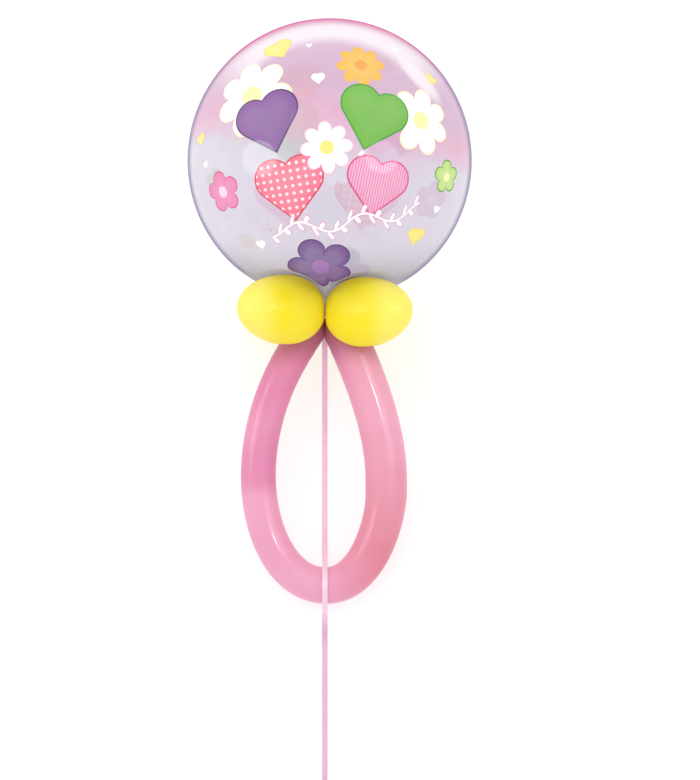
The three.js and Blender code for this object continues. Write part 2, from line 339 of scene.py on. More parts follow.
class Effects:
    """The shader node groups that the finishes share, each built once."""

    def __init__(self) -> None:
        """Builds every group."""
        self.mottle = self._mottle()
        self.place = self._place()
        self.heart = self._heart()
        self.blossom = self._blossom()
        self.ink = self._ink()

    @staticmethod
    def _mottle() -> bpy.types.NodeTree:
        """Uneven thickness and faint specks, for latex and film.

        Returns:
            A group that takes Vector, Color, Thin Color, Amount, Roughness and Scale, and gives
            Color, Roughness and Height.
        """
        inputs = {
            "Vector": (Socket.VECTOR, None),
            "Color": (Socket.COLOR, (0.8, 0.8, 0.8, 1)),
            "Thin Color": (Socket.COLOR, (1, 1, 1, 1)),
            "Amount": (Socket.VALUE, 0.3),
            "Roughness": (Socket.VALUE, 0.3),
            "Scale": (Socket.VALUE, 1.0),
        }
        outputs = {"Color": Socket.COLOR, "Roughness": Socket.VALUE, "Height": Socket.VALUE}
        tree, start, end = new_group("Uneven skin", "ShaderNodeTree", inputs, outputs)
        broad_scale, fine_scale, speck_scale = 7.0, 260.0, 900.0
        place = tree.vector("SCALE", start.outputs["Vector"], start.outputs["Scale"])
        broad = tree.step(tree.noise(place, broad_scale), 0.35, 0.7)
        fine = tree.noise(place, fine_scale, 4)
        speck = tree.step(tree.noise(place, speck_scale, 1), 0.68, 0.8)
        share = tree.math("MULTIPLY", broad, start.outputs["Amount"])
        color = tree.mix(share, start.outputs["Color"], start.outputs["Thin Color"])
        tree.feed(end.inputs["Color"], color)
        fine_wear, speck_wear, speck_height = 0.08, 0.05, 0.3
        worn = tree.math("MULTIPLY_ADD", fine, fine_wear, start.outputs["Roughness"])
        tree.feed(end.inputs["Roughness"], tree.math("MULTIPLY_ADD", speck, speck_wear, worn))
        tree.feed(end.inputs["Height"], tree.math("MULTIPLY_ADD", speck, speck_height, fine))
        return tree.tree

    @staticmethod
    def _place() -> bpy.types.NodeTree:
        """A motif's own coordinates on the film: moved to its centre and turned.

        Returns:
            A group that takes Vector, Centre and Turn, and gives Vector.
        """
        inputs = {
            "Vector": (Socket.VECTOR, None),
            "Centre": (Socket.VECTOR, None),
            "Turn": (Socket.VALUE, 0.0),
        }
        tree, start, end = new_group("Motif place", "ShaderNodeTree", inputs, {"Vector": Socket.VECTOR})
        moved = tree.vector("SUBTRACT", start.outputs["Vector"], start.outputs["Centre"])
        turned = tree.add("ShaderNodeVectorRotate", rotation_type="Z_AXIS")
        tree.feed(turned.inputs["Vector"], moved)
        tree.feed(turned.inputs["Angle"], tree.math("MULTIPLY", start.outputs["Turn"], -1))
        tree.feed(end.inputs["Vector"], turned.outputs[0])
        return tree.tree

    @staticmethod
    def _heart() -> bpy.types.NodeTree:
        """How far a point lies outside a heart, from a square on its corner and two half rounds.

        Returns:
            A group that takes Vector and Width, and gives Distance, negative inside.
        """
        inputs = {"Vector": (Socket.VECTOR, None), "Width": (Socket.VALUE, 0.1)}
        tree, start, end = new_group("Heart", "ShaderNodeTree", inputs, {"Distance": Socket.VALUE})
        lobe, lobe_x, lobe_y, middle = math.sqrt(2) / 4, 0.25, 0.75, 0.55
        unit = tree.math("DIVIDE", start.outputs["Width"], 2 * (lobe_x + lobe))
        x, y, _ = tree.split(start.outputs["Vector"])
        across = tree.math("DIVIDE", tree.math("ABSOLUTE", x), unit)
        up = tree.math("ADD", tree.math("DIVIDE", y, unit), middle)

        def squared(left: object, bottom: object) -> bpy.types.NodeSocket:
            """The square of the distance from a point."""
            wide = tree.math("POWER", tree.math("SUBTRACT", across, left), 2.0)
            return tree.math("ADD", wide, tree.math("POWER", tree.math("SUBTRACT", up, bottom), 2.0))

        total = tree.math("ADD", across, up)
        along = tree.math("MULTIPLY", tree.math("MAXIMUM", total, 0.0), 0.5)
        side = tree.math("SQRT", tree.math("MINIMUM", squared(0.0, 1.0), squared(along, along)))
        side = tree.math("MULTIPLY", side, tree.math("SIGN", tree.math("SUBTRACT", across, up)))
        round_top = tree.math("SUBTRACT", tree.math("SQRT", squared(lobe_x, lobe_y)), lobe)
        on_top = tree.math("GREATER_THAN", total, 1.0)
        change = tree.math("MULTIPLY", on_top, tree.math("SUBTRACT", round_top, side))
        tree.feed(end.inputs["Distance"], tree.math("MULTIPLY", tree.math("ADD", side, change), unit))
        return tree.tree

    @staticmethod
    def _blossom() -> bpy.types.NodeTree:
        """How far a point lies outside a simple blossom and outside its middle.

        Returns:
            A group that takes Vector, Width and Petals, and gives Distance and Core Distance.
        """
        inputs = {
            "Vector": (Socket.VECTOR, None),
            "Width": (Socket.VALUE, 0.1),
            "Petals": (Socket.VALUE, 6.0),
        }
        outputs = {"Distance": Socket.VALUE, "Core Distance": Socket.VALUE}
        notch_reach, petal_length, bluntness, core_reach = 0.31, 0.19, 0.6, 0.13
        tree, start, end = new_group("Blossom", "ShaderNodeTree", inputs, outputs)
        x, y, _ = tree.split(start.outputs["Vector"])
        reach = tree.vector("LENGTH", start.outputs["Vector"])
        angle = tree.math("ARCTAN2", x, y)
        half = tree.math("MULTIPLY", start.outputs["Petals"], 0.5)
        lobe = tree.math("ABSOLUTE", tree.math("COSINE", tree.math("MULTIPLY", angle, half)))
        lobe = tree.math("POWER", lobe, bluntness)
        edge = tree.math("MULTIPLY_ADD", lobe, petal_length, notch_reach)
        edge = tree.math("MULTIPLY", edge, start.outputs["Width"])
        tree.feed(end.inputs["Distance"], tree.math("SUBTRACT", reach, edge))
        core = tree.math("MULTIPLY", start.outputs["Width"], core_reach)
        tree.feed(end.inputs["Core Distance"], tree.math("SUBTRACT", reach, core))
        return tree.tree

    @staticmethod
    def _ink() -> bpy.types.NodeTree:
        """Lays one printed shape over what is printed already.

        Returns:
            A group that takes Color, Alpha, Distance, Fill, Line, Line Width, Opacity and Glow,
            and gives Color and Alpha.
        """
        inputs = {
            "Color": (Socket.COLOR, (1, 1, 1, 1)),
            "Alpha": (Socket.VALUE, 0.5),
            "Distance": (Socket.VALUE, 0.0),
            "Fill": (Socket.COLOR, (1, 1, 1, 1)),
            "Line": (Socket.COLOR, (0, 0, 0, 1)),
            "Line Width": (Socket.VALUE, 0.002),
            "Opacity": (Socket.VALUE, 0.9),
            "Glow": (Socket.VALUE, 0.0),
        }
        outputs = {"Color": Socket.COLOR, "Alpha": Socket.VALUE}
        tree, start, end = new_group("Ink", "ShaderNodeTree", inputs, outputs)
        distance = start.outputs["Distance"]
        blur, glow_from, glow_to = 0.0005, -0.03, -0.004
        shape = tree.step(distance, -blur, blur, 1, 0)
        inner = tree.step(tree.math("ADD", distance, start.outputs["Line Width"]), -blur, blur, 1, 0)
        depth = tree.step(distance, glow_from, glow_to, 1, 0)
        glow = tree.math("MULTIPLY", depth, start.outputs["Glow"])
        fill = tree.mix(glow, start.outputs["Fill"], (1, 1, 1, 1))
        ink = tree.mix(inner, start.outputs["Line"], fill)
        tree.feed(end.inputs["Color"], tree.mix(shape, start.outputs["Color"], ink))
        gain = tree.math("SUBTRACT", start.outputs["Opacity"], start.outputs["Alpha"])
        gain = tree.math("MAXIMUM", gain, 0.0)
        tree.feed(end.inputs["Alpha"], tree.math("MULTIPLY_ADD", gain, shape, start.outputs["Alpha"]))
        return tree.tree


def new_material(name: str) -> tuple[bpy.types.Material, NodeTree, bpy.types.Node]:
    """Starts a material.

    Args:
        name: Its name.

    Returns:
        The material, its tree and its Principled shader.
    """
    material = bpy.data.materials.new(name)
    material.use_nodes = True
    tree = NodeTree(material.node_tree)
    return material, tree, material.node_tree.nodes["Principled BSDF"]


def set_plain(shader: bpy.types.Node, **values: object) -> None:
    """Sets a shader's inputs that are the same all over the surface.

    Args:
        shader: The shader.
        values: Its inputs by name, with _ for a space.
    """
    for name, value in values.items():
        shader.inputs[name.replace("_", " ")].default_value = value


@dataclass(frozen=True)
class Latex:
    """A finish of stretched latex: uneven, softly glossy and lit a little from within."""

    name: str
    color: Color
    thin: Color
    roughness: float
    coat: float
    gloss: float
    unevenness: float = 0.3
    relief: float = 0.0004
    relief_strength: float = 0.05

    def tint(self, tree: NodeTree, place: bpy.types.NodeSocket) -> object:
        """The latex's colour where it is thick.

        Args:
            tree: The material's tree.
            place: The place on the piece.

        Returns:
            A colour, or a socket where it changes over the piece.
        """
        return self.color

    def build(self, effects: Effects) -> bpy.types.Material:
        """Makes the material.

        Args:
            effects: The shared node groups.

        Returns:
            The material.
        """
        material, tree, shader = new_material(self.name)
        place = tree.add("ShaderNodeTexCoord").outputs["Object"]
        skin = tree.call(
            effects.mottle,
            Vector=place,
            Color=self.tint(tree, place),
            Thin_Color=self.thin,
            Amount=self.unevenness,
            Roughness=self.roughness,
            Scale=1.0,
        )
        tree.feed(shader.inputs["Base Color"], skin.outputs["Color"])
        tree.feed(shader.inputs["Roughness"], skin.outputs["Roughness"])
        normal = tree.bump(skin.outputs["Height"], self.relief_strength, self.relief)
        tree.feed(shader.inputs["Normal"], normal)
        set_plain(
            shader,
            Coat_Weight=self.coat,
            Coat_Roughness=self.roughness / 3,
            Specular_IOR_Level=self.gloss,
            Subsurface_Weight=0.25,
            Subsurface_Scale=0.02,
            Subsurface_Radius=(1.0, 0.6, 0.4),
        )
        return material


@dataclass(frozen=True)
class CollarLatex(Latex):
    """Yellow latex, with a painted highlight towards the outer ends of the small balloons."""

    name: str = "yellow latex"
    color: Color = srgb(245, 224, 0)
    thin: Color = srgb(255, 240, 110)
    roughness: float = 0.5
    coat: float = 0.08
    gloss: float = 0.13
    # Painted highlight: the paler colour that the side lights would give the outer ends.
    ends: Color = srgb(255, 242, 130)
    end_highlight_band: Pair = (0.075, 0.130)
    end_highlight_share: float = 0.62

    def tint(self, tree: NodeTree, place: bpy.types.NodeSocket) -> object:
        """The latex's colour where it is thick, with a painted highlight that grows with the distance from
        the middle line.

        Args:
            tree: The material's tree.
            place: The place on the piece.

        Returns:
            The colour's socket.
        """
        x, _, _ = tree.split(place)
        outward = tree.math("ABSOLUTE", tree.math("ADD", x, MIDDLE_OFFSET))
        # Paints the side lights' highlight onto the outer ends.
        return tree.mix(tree.step(outward, *self.end_highlight_band, 0, self.end_highlight_share), self.color, self.ends)


@dataclass(frozen=True)
class LoopLatex(Latex):
    """Pink latex: warmer on the right arm and painted lighter up it, with a paler painted reflection low on
    the left and painted shadow under the collar.
    """

    name: str = "pink latex"
    color: Color = srgb(222, 134, 174)
    thin: Color = srgb(240, 180, 202)
    roughness: float = 0.34
    coat: float = 0.14
    gloss: float = 0.1
    warm: Color = srgb(218, 120, 138)
    # Painted light: the lighter colour higher up the right arm, where the light falls.
    light: Color = srgb(234, 164, 188)
    # Painted reflection: the paler colour low on the left arm, where a lamp's reflection would lie.
    pale: Color = srgb(232, 160, 190)
    # Painted shadow: the deeper colour where the small balloons of the collar shade the loop.
    deep: Color = srgb(172, 98, 124)
    right_band: Pair = (-0.05, 0.09)
    painted_light_band: Pair = (-0.47, -0.20)
    painted_reflection_band: Pair = (-0.37, -0.33)
    painted_shadow_band: Pair = (-0.128, -0.060)
    painted_shadow_share: float = 0.88

    def tint(self, tree: NodeTree, place: bpy.types.NodeSocket) -> object:
        """The latex's colour where it is thick, different on each part of the loop, with its painted light,
        reflection and shadow.

        Args:
            tree: The material's tree.
            place: The place on the piece.

        Returns:
            The colour's socket.
        """
        x, y, _ = tree.split(place)
        right = tree.step(x, *self.right_band)
        # The right arm turns from warm to the painted light colour higher up.
        right_color = tree.mix(tree.step(y, *self.painted_light_band), self.warm, self.light)
        color = tree.mix(right, self.color, right_color)
        left = tree.math("SUBTRACT", 1.0, right)
        # Painted reflection on the lower left arm.
        painted_reflection_mask = tree.math("MULTIPLY", left, tree.step(y, *self.painted_reflection_band, 1, 0))
        color = tree.mix(painted_reflection_mask, color, self.pale)
        # Painted shadow under the collar.
        return tree.mix(tree.step(y, *self.painted_shadow_band, 0, self.painted_shadow_share), color, self.deep)


@dataclass(frozen=True)
class RibbonFinish:
    """A finish of satin curling ribbon with fine ribs along it, with painted light that makes it lighter up
    to the loop's end.
    """

    name: str = "pink curling ribbon"
    color: Color = srgb(224, 170, 202)
    # Painted light: the lighter colour between the loop's arms, where the loop and the small balloons shade
    # the ribbon.
    light: Color = srgb(252, 218, 238)
    dark: Color = srgb(220, 162, 196)
    painted_light_band: Pair = (-0.61, -0.57)
    ribs: float = 9.0
    rib_depth: float = 0.0002
    rib_strength: float = 0.4
    rib_share: float = 0.12
    blotch_scale: float = 60.0
    blotch_share: float = 0.4

    def build(self) -> bpy.types.Material:
        """Makes the material, whose ribs follow the ribbon's own map.

        Returns:
            The material.
        """
        material, tree, shader = new_material(self.name)
        across, _, _ = tree.split(tree.add("ShaderNodeUVMap", uv_map="ribbon").outputs[0])
        wave = tree.math("SINE", tree.math("MULTIPLY", across, self.ribs * 2 * math.pi))
        place = tree.add("ShaderNodeTexCoord").outputs["Object"]
        _, y, _ = tree.split(place)
        # Painted light from the loop's end up to the collar.
        color = tree.mix(tree.step(y, *self.painted_light_band), self.color, self.light)
        blotch = tree.math("MULTIPLY", tree.noise(place, self.blotch_scale), self.blotch_share)
        share = tree.math("MULTIPLY_ADD", wave, self.rib_share, blotch)
        tree.feed(shader.inputs["Base Color"], tree.mix(share, color, self.dark))
        tree.feed(shader.inputs["Normal"], tree.bump(wave, self.rib_strength, self.rib_depth))
        set_plain(shader, Roughness=0.38, Sheen_Weight=0.2)
        return material


class Shape(Enum):
    """The printed motifs."""

    HEART = "heart"
    BLOSSOM = "blossom"


class Pattern(Enum):
    """What fills a printed motif."""

    PLAIN = "plain"
    DOTS = "dots"
    STRIPES = "stripes"


@dataclass(frozen=True)
class Motif:
    """One printed motif: its place seen from the front, in metres from the bubble's middle."""

    shape: Shape
    x: float
    y: float
    width: float
    fill: Color
    line: Color
    turn: float = 0.0
    line_width: float = 0.0034
    pattern: Pattern = Pattern.PLAIN
    core: Color | None = None
    petals: int = 6
    opacity: float = 0.93
    glow: float = 0.16

    def centre(self, radius: float) -> Point:
        """The motif's place on the film's own map, where lengths are measured along the film.

        Args:
            radius: The bubble's radius.

        Returns:
            The place, with a z of 0.
        """
        reach = math.hypot(self.x, self.y)
        stretch = radius * math.asin(min(1.0, reach / radius)) / reach if reach else 1.0
        return (self.x * stretch, self.y * stretch, 0.0)


WHITE = srgb(255, 255, 255)
PURPLE = srgb(128, 72, 150)
LILAC = srgb(160, 112, 180)
PLUM = srgb(108, 66, 136)
PURPLE_LINE = srgb(70, 28, 106)
CORAL = srgb(242, 112, 138)
CORAL_LINE = srgb(218, 40, 78)
GREEN = srgb(108, 182, 50)
GREEN_LINE = srgb(44, 152, 36)
ROSE = srgb(232, 128, 178)
ROSE_LINE = srgb(222, 62, 128)
GOLD = srgb(246, 186, 60)
GOLD_LINE = srgb(244, 176, 76)
LEMON = srgb(252, 232, 118)
LEMON_LINE = srgb(240, 200, 80)
CREAM = srgb(253, 247, 170)
CREAM_LINE = srgb(250, 236, 190)
AMBER = srgb(246, 160, 60)
BLUSH = srgb(248, 190, 214)
SHELL = srgb(252, 214, 230)
LIME = srgb(190, 224, 112)

MOTIFS = (
    Motif(Shape.BLOSSOM, -0.150, 0.112, 0.180, WHITE, CREAM_LINE, 0.2, 0.004, core=CREAM, petals=7, glow=0),
    Motif(Shape.BLOSSOM, 0.176, 0.066, 0.150, WHITE, CREAM_LINE, 0.7, 0.004, core=CREAM, petals=7, glow=0),
    Motif(Shape.BLOSSOM, 0.060, 0.172, 0.104, GOLD, GOLD_LINE, 0.1, core=AMBER, petals=8, glow=0.05),
    Motif(Shape.BLOSSOM, -0.018, -0.215, 0.150, PLUM, PURPLE_LINE, 0.4, core=LILAC, petals=5, glow=0.08),
    Motif(Shape.HEART, -0.118, 0.058, 0.140, PURPLE, PURPLE_LINE, 0.32, glow=0.04),
    Motif(Shape.HEART, 0.082, 0.066, 0.144, GREEN, GREEN_LINE, -0.30, glow=0.04),
    Motif(Shape.HEART, -0.076, -0.070, 0.142, CORAL, CORAL_LINE, 0.16, pattern=Pattern.DOTS, glow=0.05),
    Motif(Shape.HEART, 0.090, -0.066, 0.130, ROSE, ROSE_LINE, -0.20, pattern=Pattern.STRIPES, glow=0.05),
    Motif(Shape.BLOSSOM, -0.006, 0.010, 0.104, WHITE, BLUSH, 0.1, 0.003, core=LEMON, petals=8, glow=0),
    Motif(Shape.BLOSSOM, -0.206, -0.070, 0.094, ROSE, ROSE_LINE, 0.3, core=SHELL, petals=5, glow=0.05),
    Motif(Shape.BLOSSOM, 0.226, -0.040, 0.078, LIME, GREEN_LINE, core=CREAM, petals=5),
    Motif(Shape.HEART, -0.098, 0.206, 0.070, LEMON, LEMON_LINE, 0.5, 0.0014),
    Motif(Shape.HEART, 0.196, 0.150, 0.036, LEMON, LEMON_LINE, -0.5, 0.0014),
    Motif(Shape.HEART, -0.250, 0.034, 0.034, LEMON, LEMON_LINE, 0.3, 0.0014),
    Motif(Shape.HEART, 0.166, -0.156, 0.048, LEMON, LEMON_LINE, -0.2, 0.0014),
    Motif(Shape.HEART, -0.022, 0.144, 0.028, WHITE, WHITE, 0.1, 0.0005),
    Motif(Shape.HEART, -0.040, 0.212, 0.014, WHITE, WHITE, 0.1, 0.0005),
    Motif(Shape.HEART, 0.128, 0.206, 0.018, WHITE, WHITE, -0.3, 0.0005),
    Motif(Shape.HEART, -0.240, -0.016, 0.018, WHITE, WHITE, 0.4, 0.0005),
    Motif(Shape.HEART, 0.206, -0.104, 0.020, WHITE, WHITE, -0.4, 0.0005),
    Motif(Shape.HEART, -0.132, -0.172, 0.024, WHITE, WHITE, 0.2, 0.0005),
)


class Canvas:
    """The film's colour and alpha in the making, and the map that its print is placed on."""

    def __init__(self, tree: NodeTree, effects: Effects) -> None:
        """Starts with nothing on the film.

        Args:
            tree: The film's tree.
            effects: The shared node groups.
        """
        self.tree = tree
        self.effects = effects
        self.spot = tree.add("ShaderNodeUVMap", uv_map="print").outputs[0]
        self.place = tree.add("ShaderNodeTexCoord").outputs["Object"]
        self.color: object = WHITE
        self.alpha: object = 0.0

    def tint(self, factor: object, color: object) -> None:
        """Mixes another colour into the film's, all of it where the factor is 1."""
        self.color = self.tree.mix(factor, self.color, color)

    def local(self, centre: Point, turn: float) -> bpy.types.NodeSocket:
        """A shape's own coordinates, from its centre on the film's map and its turn in radians."""
        own = self.tree.call(self.effects.place, Vector=self.spot, Centre=centre, Turn=turn)
        return own.outputs[0]

    def ink(
        self,
        distance: bpy.types.NodeSocket,
        fill: object,
        line: Color,
        opacity: float,
        line_width: float = 0.002,
        glow: float = 0.0,
    ) -> None:
        """Lays one printed shape over what is there already.

        Args:
            distance: How far a point lies outside the shape.
            fill: The colour inside it.
            line: The colour of its outline.
            opacity: The least alpha that it gives the film.
            line_width: How broad the outline is.
            glow: How much paler its middle is.
        """
        layer = self.tree.call(
            self.effects.ink,
            Color=self.color,
            Alpha=self.alpha,
            Distance=distance,
            Fill=fill,
            Line=line,
            Line_Width=line_width,
            Opacity=opacity,
            Glow=glow,
        )
        self.color, self.alpha = layer.outputs["Color"], layer.outputs["Alpha"]


@dataclass(frozen=True)
class Garland:
    """The printed garland: a waving white stem with leaves on both sides in turn, edged in pink."""

    centre: Point = (0.035, -0.138, 0.0)
    turn: float = 0.14
    half_length: float = 0.160
    wave_length: float = 0.13
    wave_height: float = 0.014
    half_stem: float = 0.0022
    spacing: float = 0.0145
    leaf_offset: float = 0.0095
    leaf_lean: float = 0.5
    leaf_half: Pair = (0.0042, 0.0085)
    leaf_slope: float = 0.004
    edge: float = 0.001
    line: Color = srgb(236, 130, 180)
    opacity: float = 0.97

    def print_on(self, canvas: Canvas) -> None:
        """Prints the garland.

        Args:
            canvas: The film so far.
        """
        tree = canvas.tree
        x, y, _ = tree.split(canvas.local(self.centre, self.turn))
        swing = tree.math("SINE", tree.math("MULTIPLY", x, 2 * math.pi / self.wave_length))
        rise = tree.math("MULTIPLY_ADD", swing, -self.wave_height, y)
        beyond = tree.math("SUBTRACT", tree.math("ABSOLUTE", x), self.half_length)
        stem = tree.math("SUBTRACT", tree.math("ABSOLUTE", rise), self.half_stem)
        cell = tree.math("DIVIDE", x, self.spacing)
        hand = tree.math("SIGN", tree.math("SINE", tree.math("MULTIPLY", cell, math.pi)))
        leaf_x = tree.math("MULTIPLY", tree.math("SUBTRACT", tree.math("FRACT", cell), 0.5), self.spacing)
        leaf_y = tree.math("SUBTRACT", tree.math("MULTIPLY", rise, hand), self.leaf_offset)
        leaf_x = tree.math("MULTIPLY_ADD", leaf_y, -self.leaf_lean, leaf_x)
        oval = tree.math("SQRT", tree.ellipse(leaf_x, leaf_y, self.leaf_half))
        leaf = tree.math("MULTIPLY", tree.math("SUBTRACT", oval, 1.0), self.leaf_slope)
        shape = tree.math("MAXIMUM", tree.math("MINIMUM", stem, leaf), beyond)
        distance = tree.math("SUBTRACT", shape, self.edge)
        canvas.ink(distance, WHITE, self.line, self.opacity, self.edge)


@dataclass(frozen=True)
class PrintedFilm:
    """The bubble's finish: clear film under a see-through wash with a print of hearts and blossoms."""

    radius: float
    collar: Point
    name: str = "printed clear film"
    sky: Color = srgb(192, 136, 180)
    rose: Color = srgb(226, 134, 180)
    mist: Color = srgb(186, 176, 202)
    # Painted shade: the darker, denser film at the bottom, near the collar.
    painted_shade: Color = srgb(120, 112, 142)
    # Painted highlight: the pale colour of the band inside the top edge and of the patch at the upper
    # right.
    pale: Color = srgb(252, 240, 247)
    rim: Color = srgb(158, 148, 180)
    rim_top: Color = srgb(212, 92, 156)
    sky_wash: float = 0.55
    mist_wash: float = 0.38
    painted_shade_wash: float = 0.2
    blotch_wash: float = 0.10
    blotch_scale: float = 14.0
    border_fall: float = 0.15
    border_drift: float = 0.12
    drift_scale: float = 9.0
    sky_band: Pair = (0.040, 0.140)
    rose_start: Pair = (0.05, 0.11)
    rose_end: Pair = (0.12, 0.21)
    rose_share: float = 0.62
    painted_shade_band: Pair = (-0.34, -0.17)
    crown_reach: Pair = (0.235, 0.285)
    crown_height: Pair = (0.45, 0.85)
    crown_highlight_share: float = 0.85
    patch_centre: Point = (0.200, 0.185, 0.0)
    patch_turn: float = -48.0
    patch_half: Pair = (0.085, 0.030)
    patch_fade: Pair = (0.2, 1.3)
    patch_highlight_share: float = 0.9
    top_band: Pair = (0.16, 0.36)
    dent_reach: Pair = (0.165, 0.200)
    line_facing: Pair = (0.73, 0.89)
    blush_facing: Pair = (0.62, 0.84)
    blush_share: float = 0.8
    rim_share: float = 0.95
    rim_density: float = 0.8
    inside_mist: float = 0.45
    inside_fade: float = 0.5
    shadow: float = 0.38
    coat: float = 0.5
    unevenness: float = 0.05
    grain: float = 0.6
    dot_pitch: float = 0.0145
    dot_edge: Pair = (0.20, 0.26)
    dot_share: float = 0.75
    stripe_pitch: float = 0.0055
    stripe_edge: Pair = (-0.3, 0.5)
    stripe_share: float = 0.32

    def build(self, effects: Effects) -> bpy.types.Material:
        """Makes the material, whose print follows the film's own map.

        Args:
            effects: The shared node groups.

        Returns:
            The material.
        """
        material, tree, shader = new_material(self.name)
        canvas = Canvas(tree, effects)
        self._wash(canvas)
        self._paint_highlights(canvas)
        for motif in MOTIFS:
            self._print(canvas, motif)
        Garland().print_on(canvas)
        away = tree.vector("LENGTH", tree.vector("SUBTRACT", canvas.place, self.collar))
        free = tree.step(away, *self.dent_reach)
        rim = self._rim(canvas, free)
        inside = tree.add("ShaderNodeNewGeometry").outputs["Backfacing"]
        canvas.tint(tree.math("MULTIPLY", inside, self.inside_mist), self.mist)
        fade = tree.math("MULTIPLY_ADD", inside, -self.inside_fade, 1.0)
        alpha = tree.math("MULTIPLY", canvas.alpha, fade)
        skin = tree.call(
            effects.mottle,
            Vector=canvas.place,
            Color=canvas.color,
            Thin_Color=WHITE,
            Amount=self.unevenness,
            Scale=self.grain,
        )
        tree.feed(shader.inputs["Base Color"], skin.outputs["Color"])
        denser = tree.math("MULTIPLY", rim, self.rim_density)
        alpha = tree.math("MULTIPLY_ADD", denser, tree.math("SUBTRACT", 1.0, alpha), alpha)
        shading = tree.add("ShaderNodeLightPath").outputs["Is Shadow Ray"]
        lighter = tree.math("MULTIPLY_ADD", shading, self.shadow - 1.0, 1.0)
        tree.feed(shader.inputs["Alpha"], tree.math("MULTIPLY", alpha, lighter))
        clear = tree.math("SUBTRACT", free, rim, clamp=True)
        tree.feed(shader.inputs["Coat Weight"], tree.math("MULTIPLY", clear, self.coat))
        set_plain(shader, Specular_IOR_Level=0.0, Roughness=0.1, Coat_Roughness=0.06)
        return material

    def _wash(self, canvas: Canvas) -> None:
        """Lays the see-through wash: pink sky over pale mist, a rosy border and painted shade at the
        bottom.

        Args:
            canvas: The bare film.
        """
        tree = canvas.tree
        _, y, _ = tree.split(canvas.spot)
        side, _, _ = tree.split(canvas.place)
        drift = tree.math("MULTIPLY_ADD", side, self.border_fall, y)
        uneven = tree.noise(canvas.place, self.drift_scale)
        drift = tree.math("MULTIPLY_ADD", uneven, self.border_drift, drift)
        above = tree.step(drift, *self.sky_band)
        fading = tree.step(drift, *self.rose_end, 1, 0)
        border = tree.math("MULTIPLY", tree.step(drift, *self.rose_start), fading)
        # Painted shade towards the bottom of the film.
        low = tree.step(y, *self.painted_shade_band, 1, 0)
        canvas.color = tree.mix(above, self.mist, self.sky)
        canvas.tint(tree.math("MULTIPLY", border, self.rose_share), self.rose)
        canvas.tint(low, self.painted_shade)
        alpha = tree.math("MULTIPLY_ADD", above, self.sky_wash - self.mist_wash, self.mist_wash)
        alpha = tree.math("MULTIPLY_ADD", low, self.painted_shade_wash, alpha)
        blotches = tree.noise(canvas.place, self.blotch_scale)
        canvas.alpha = tree.math("MULTIPLY_ADD", blotches, self.blotch_wash, alpha)

    def _paint_highlights(self, canvas: Canvas) -> None:
        """Paints highlights into the wash: a pale band inside the top edge and a pale patch at the upper
        right.

        Args:
            canvas: The washed film.
        """
        tree = canvas.tree
        _, y, _ = tree.split(canvas.spot)
        reach = tree.vector("LENGTH", canvas.spot)
        upward = tree.step(tree.math("DIVIDE", y, reach), *self.crown_height, 0, self.crown_highlight_share)
        # Painted highlight: a pale band just inside the top edge.
        crown = tree.math("MULTIPLY", tree.step(reach, *self.crown_reach), upward)
        # Painted highlight: a pale patch at the upper right.
        own = canvas.local(self.patch_centre, math.radians(self.patch_turn))
        along, across, _ = tree.split(own)
        oval = tree.ellipse(along, across, self.patch_half)
        painted_patch = tree.step(oval, *self.patch_fade, self.patch_highlight_share, 0)
        canvas.tint(tree.math("MAXIMUM", crown, painted_patch), self.pale)

    def _rim(self, canvas: Canvas, free: bpy.types.NodeSocket) -> bpy.types.NodeSocket:
        """Tints the film where it is seen edge on, with a broader pink blush at the top.

        Args:
            canvas: The printed film.
            free: 0 in the dents at the collar, 1 away from them.

        Returns:
            How strong the tint is.
        """
        tree = canvas.tree
        _, y, _ = tree.split(canvas.spot)
        edge = tree.add("ShaderNodeLayerWeight")
        edge.inputs["Blend"].default_value = 0.5
        facing = edge.outputs["Facing"]
        top = tree.step(y, *self.top_band)
        line = tree.math("MULTIPLY", tree.step(facing, *self.line_facing), free)
        blush = tree.math("MULTIPLY", tree.step(facing, *self.blush_facing), top)
        rim = tree.math("MAXIMUM", line, tree.math("MULTIPLY", blush, self.blush_share))
        rim_color = tree.mix(top, self.rim, self.rim_top)
        canvas.tint(tree.math("MULTIPLY", rim, self.rim_share), rim_color)
        return rim

    def _fill(self, tree: NodeTree, motif: Motif, local: bpy.types.NodeSocket) -> object:
        """What a motif is filled with: a colour, or a socket where the fill has a pattern."""
        if motif.pattern is Pattern.DOTS:
            cell = tree.vector("FRACTION", tree.vector("SCALE", local, 1 / self.dot_pitch))
            away = tree.vector("SUBTRACT", cell, (0.5, 0.5, 0.0))
            flat = tree.vector("MULTIPLY", away, (1.0, 1.0, 0.0))
            dot = tree.step(tree.vector("LENGTH", flat), *self.dot_edge, 1, 0)
            return tree.mix(tree.math("MULTIPLY", dot, self.dot_share), motif.fill, WHITE)
        if motif.pattern is Pattern.STRIPES:
            side, _, _ = tree.split(local)
            wave = tree.math("SINE", tree.math("MULTIPLY", side, 2 * math.pi / self.stripe_pitch))
            return tree.mix(tree.step(wave, *self.stripe_edge, 0, self.stripe_share), motif.fill, WHITE)
        return motif.fill

    def _print(self, canvas: Canvas, motif: Motif) -> None:
        """Prints one motif.

        Args:
            canvas: The film so far.
            motif: What is printed.
        """
        tree, effects = canvas.tree, canvas.effects
        local = canvas.local(motif.centre(self.radius), motif.turn)
        if motif.shape is Shape.HEART:
            form = tree.call(effects.heart, Vector=local, Width=motif.width)
        else:
            form = tree.call(effects.blossom, Vector=local, Width=motif.width, Petals=float(motif.petals))
        distance, fill = form.outputs["Distance"], self._fill(tree, motif, local)
        canvas.ink(distance, fill, motif.line, motif.opacity, motif.line_width, motif.glow)
        if motif.core:
            canvas.ink(form.outputs["Core Distance"], motif.core, motif.core, motif.opacity)


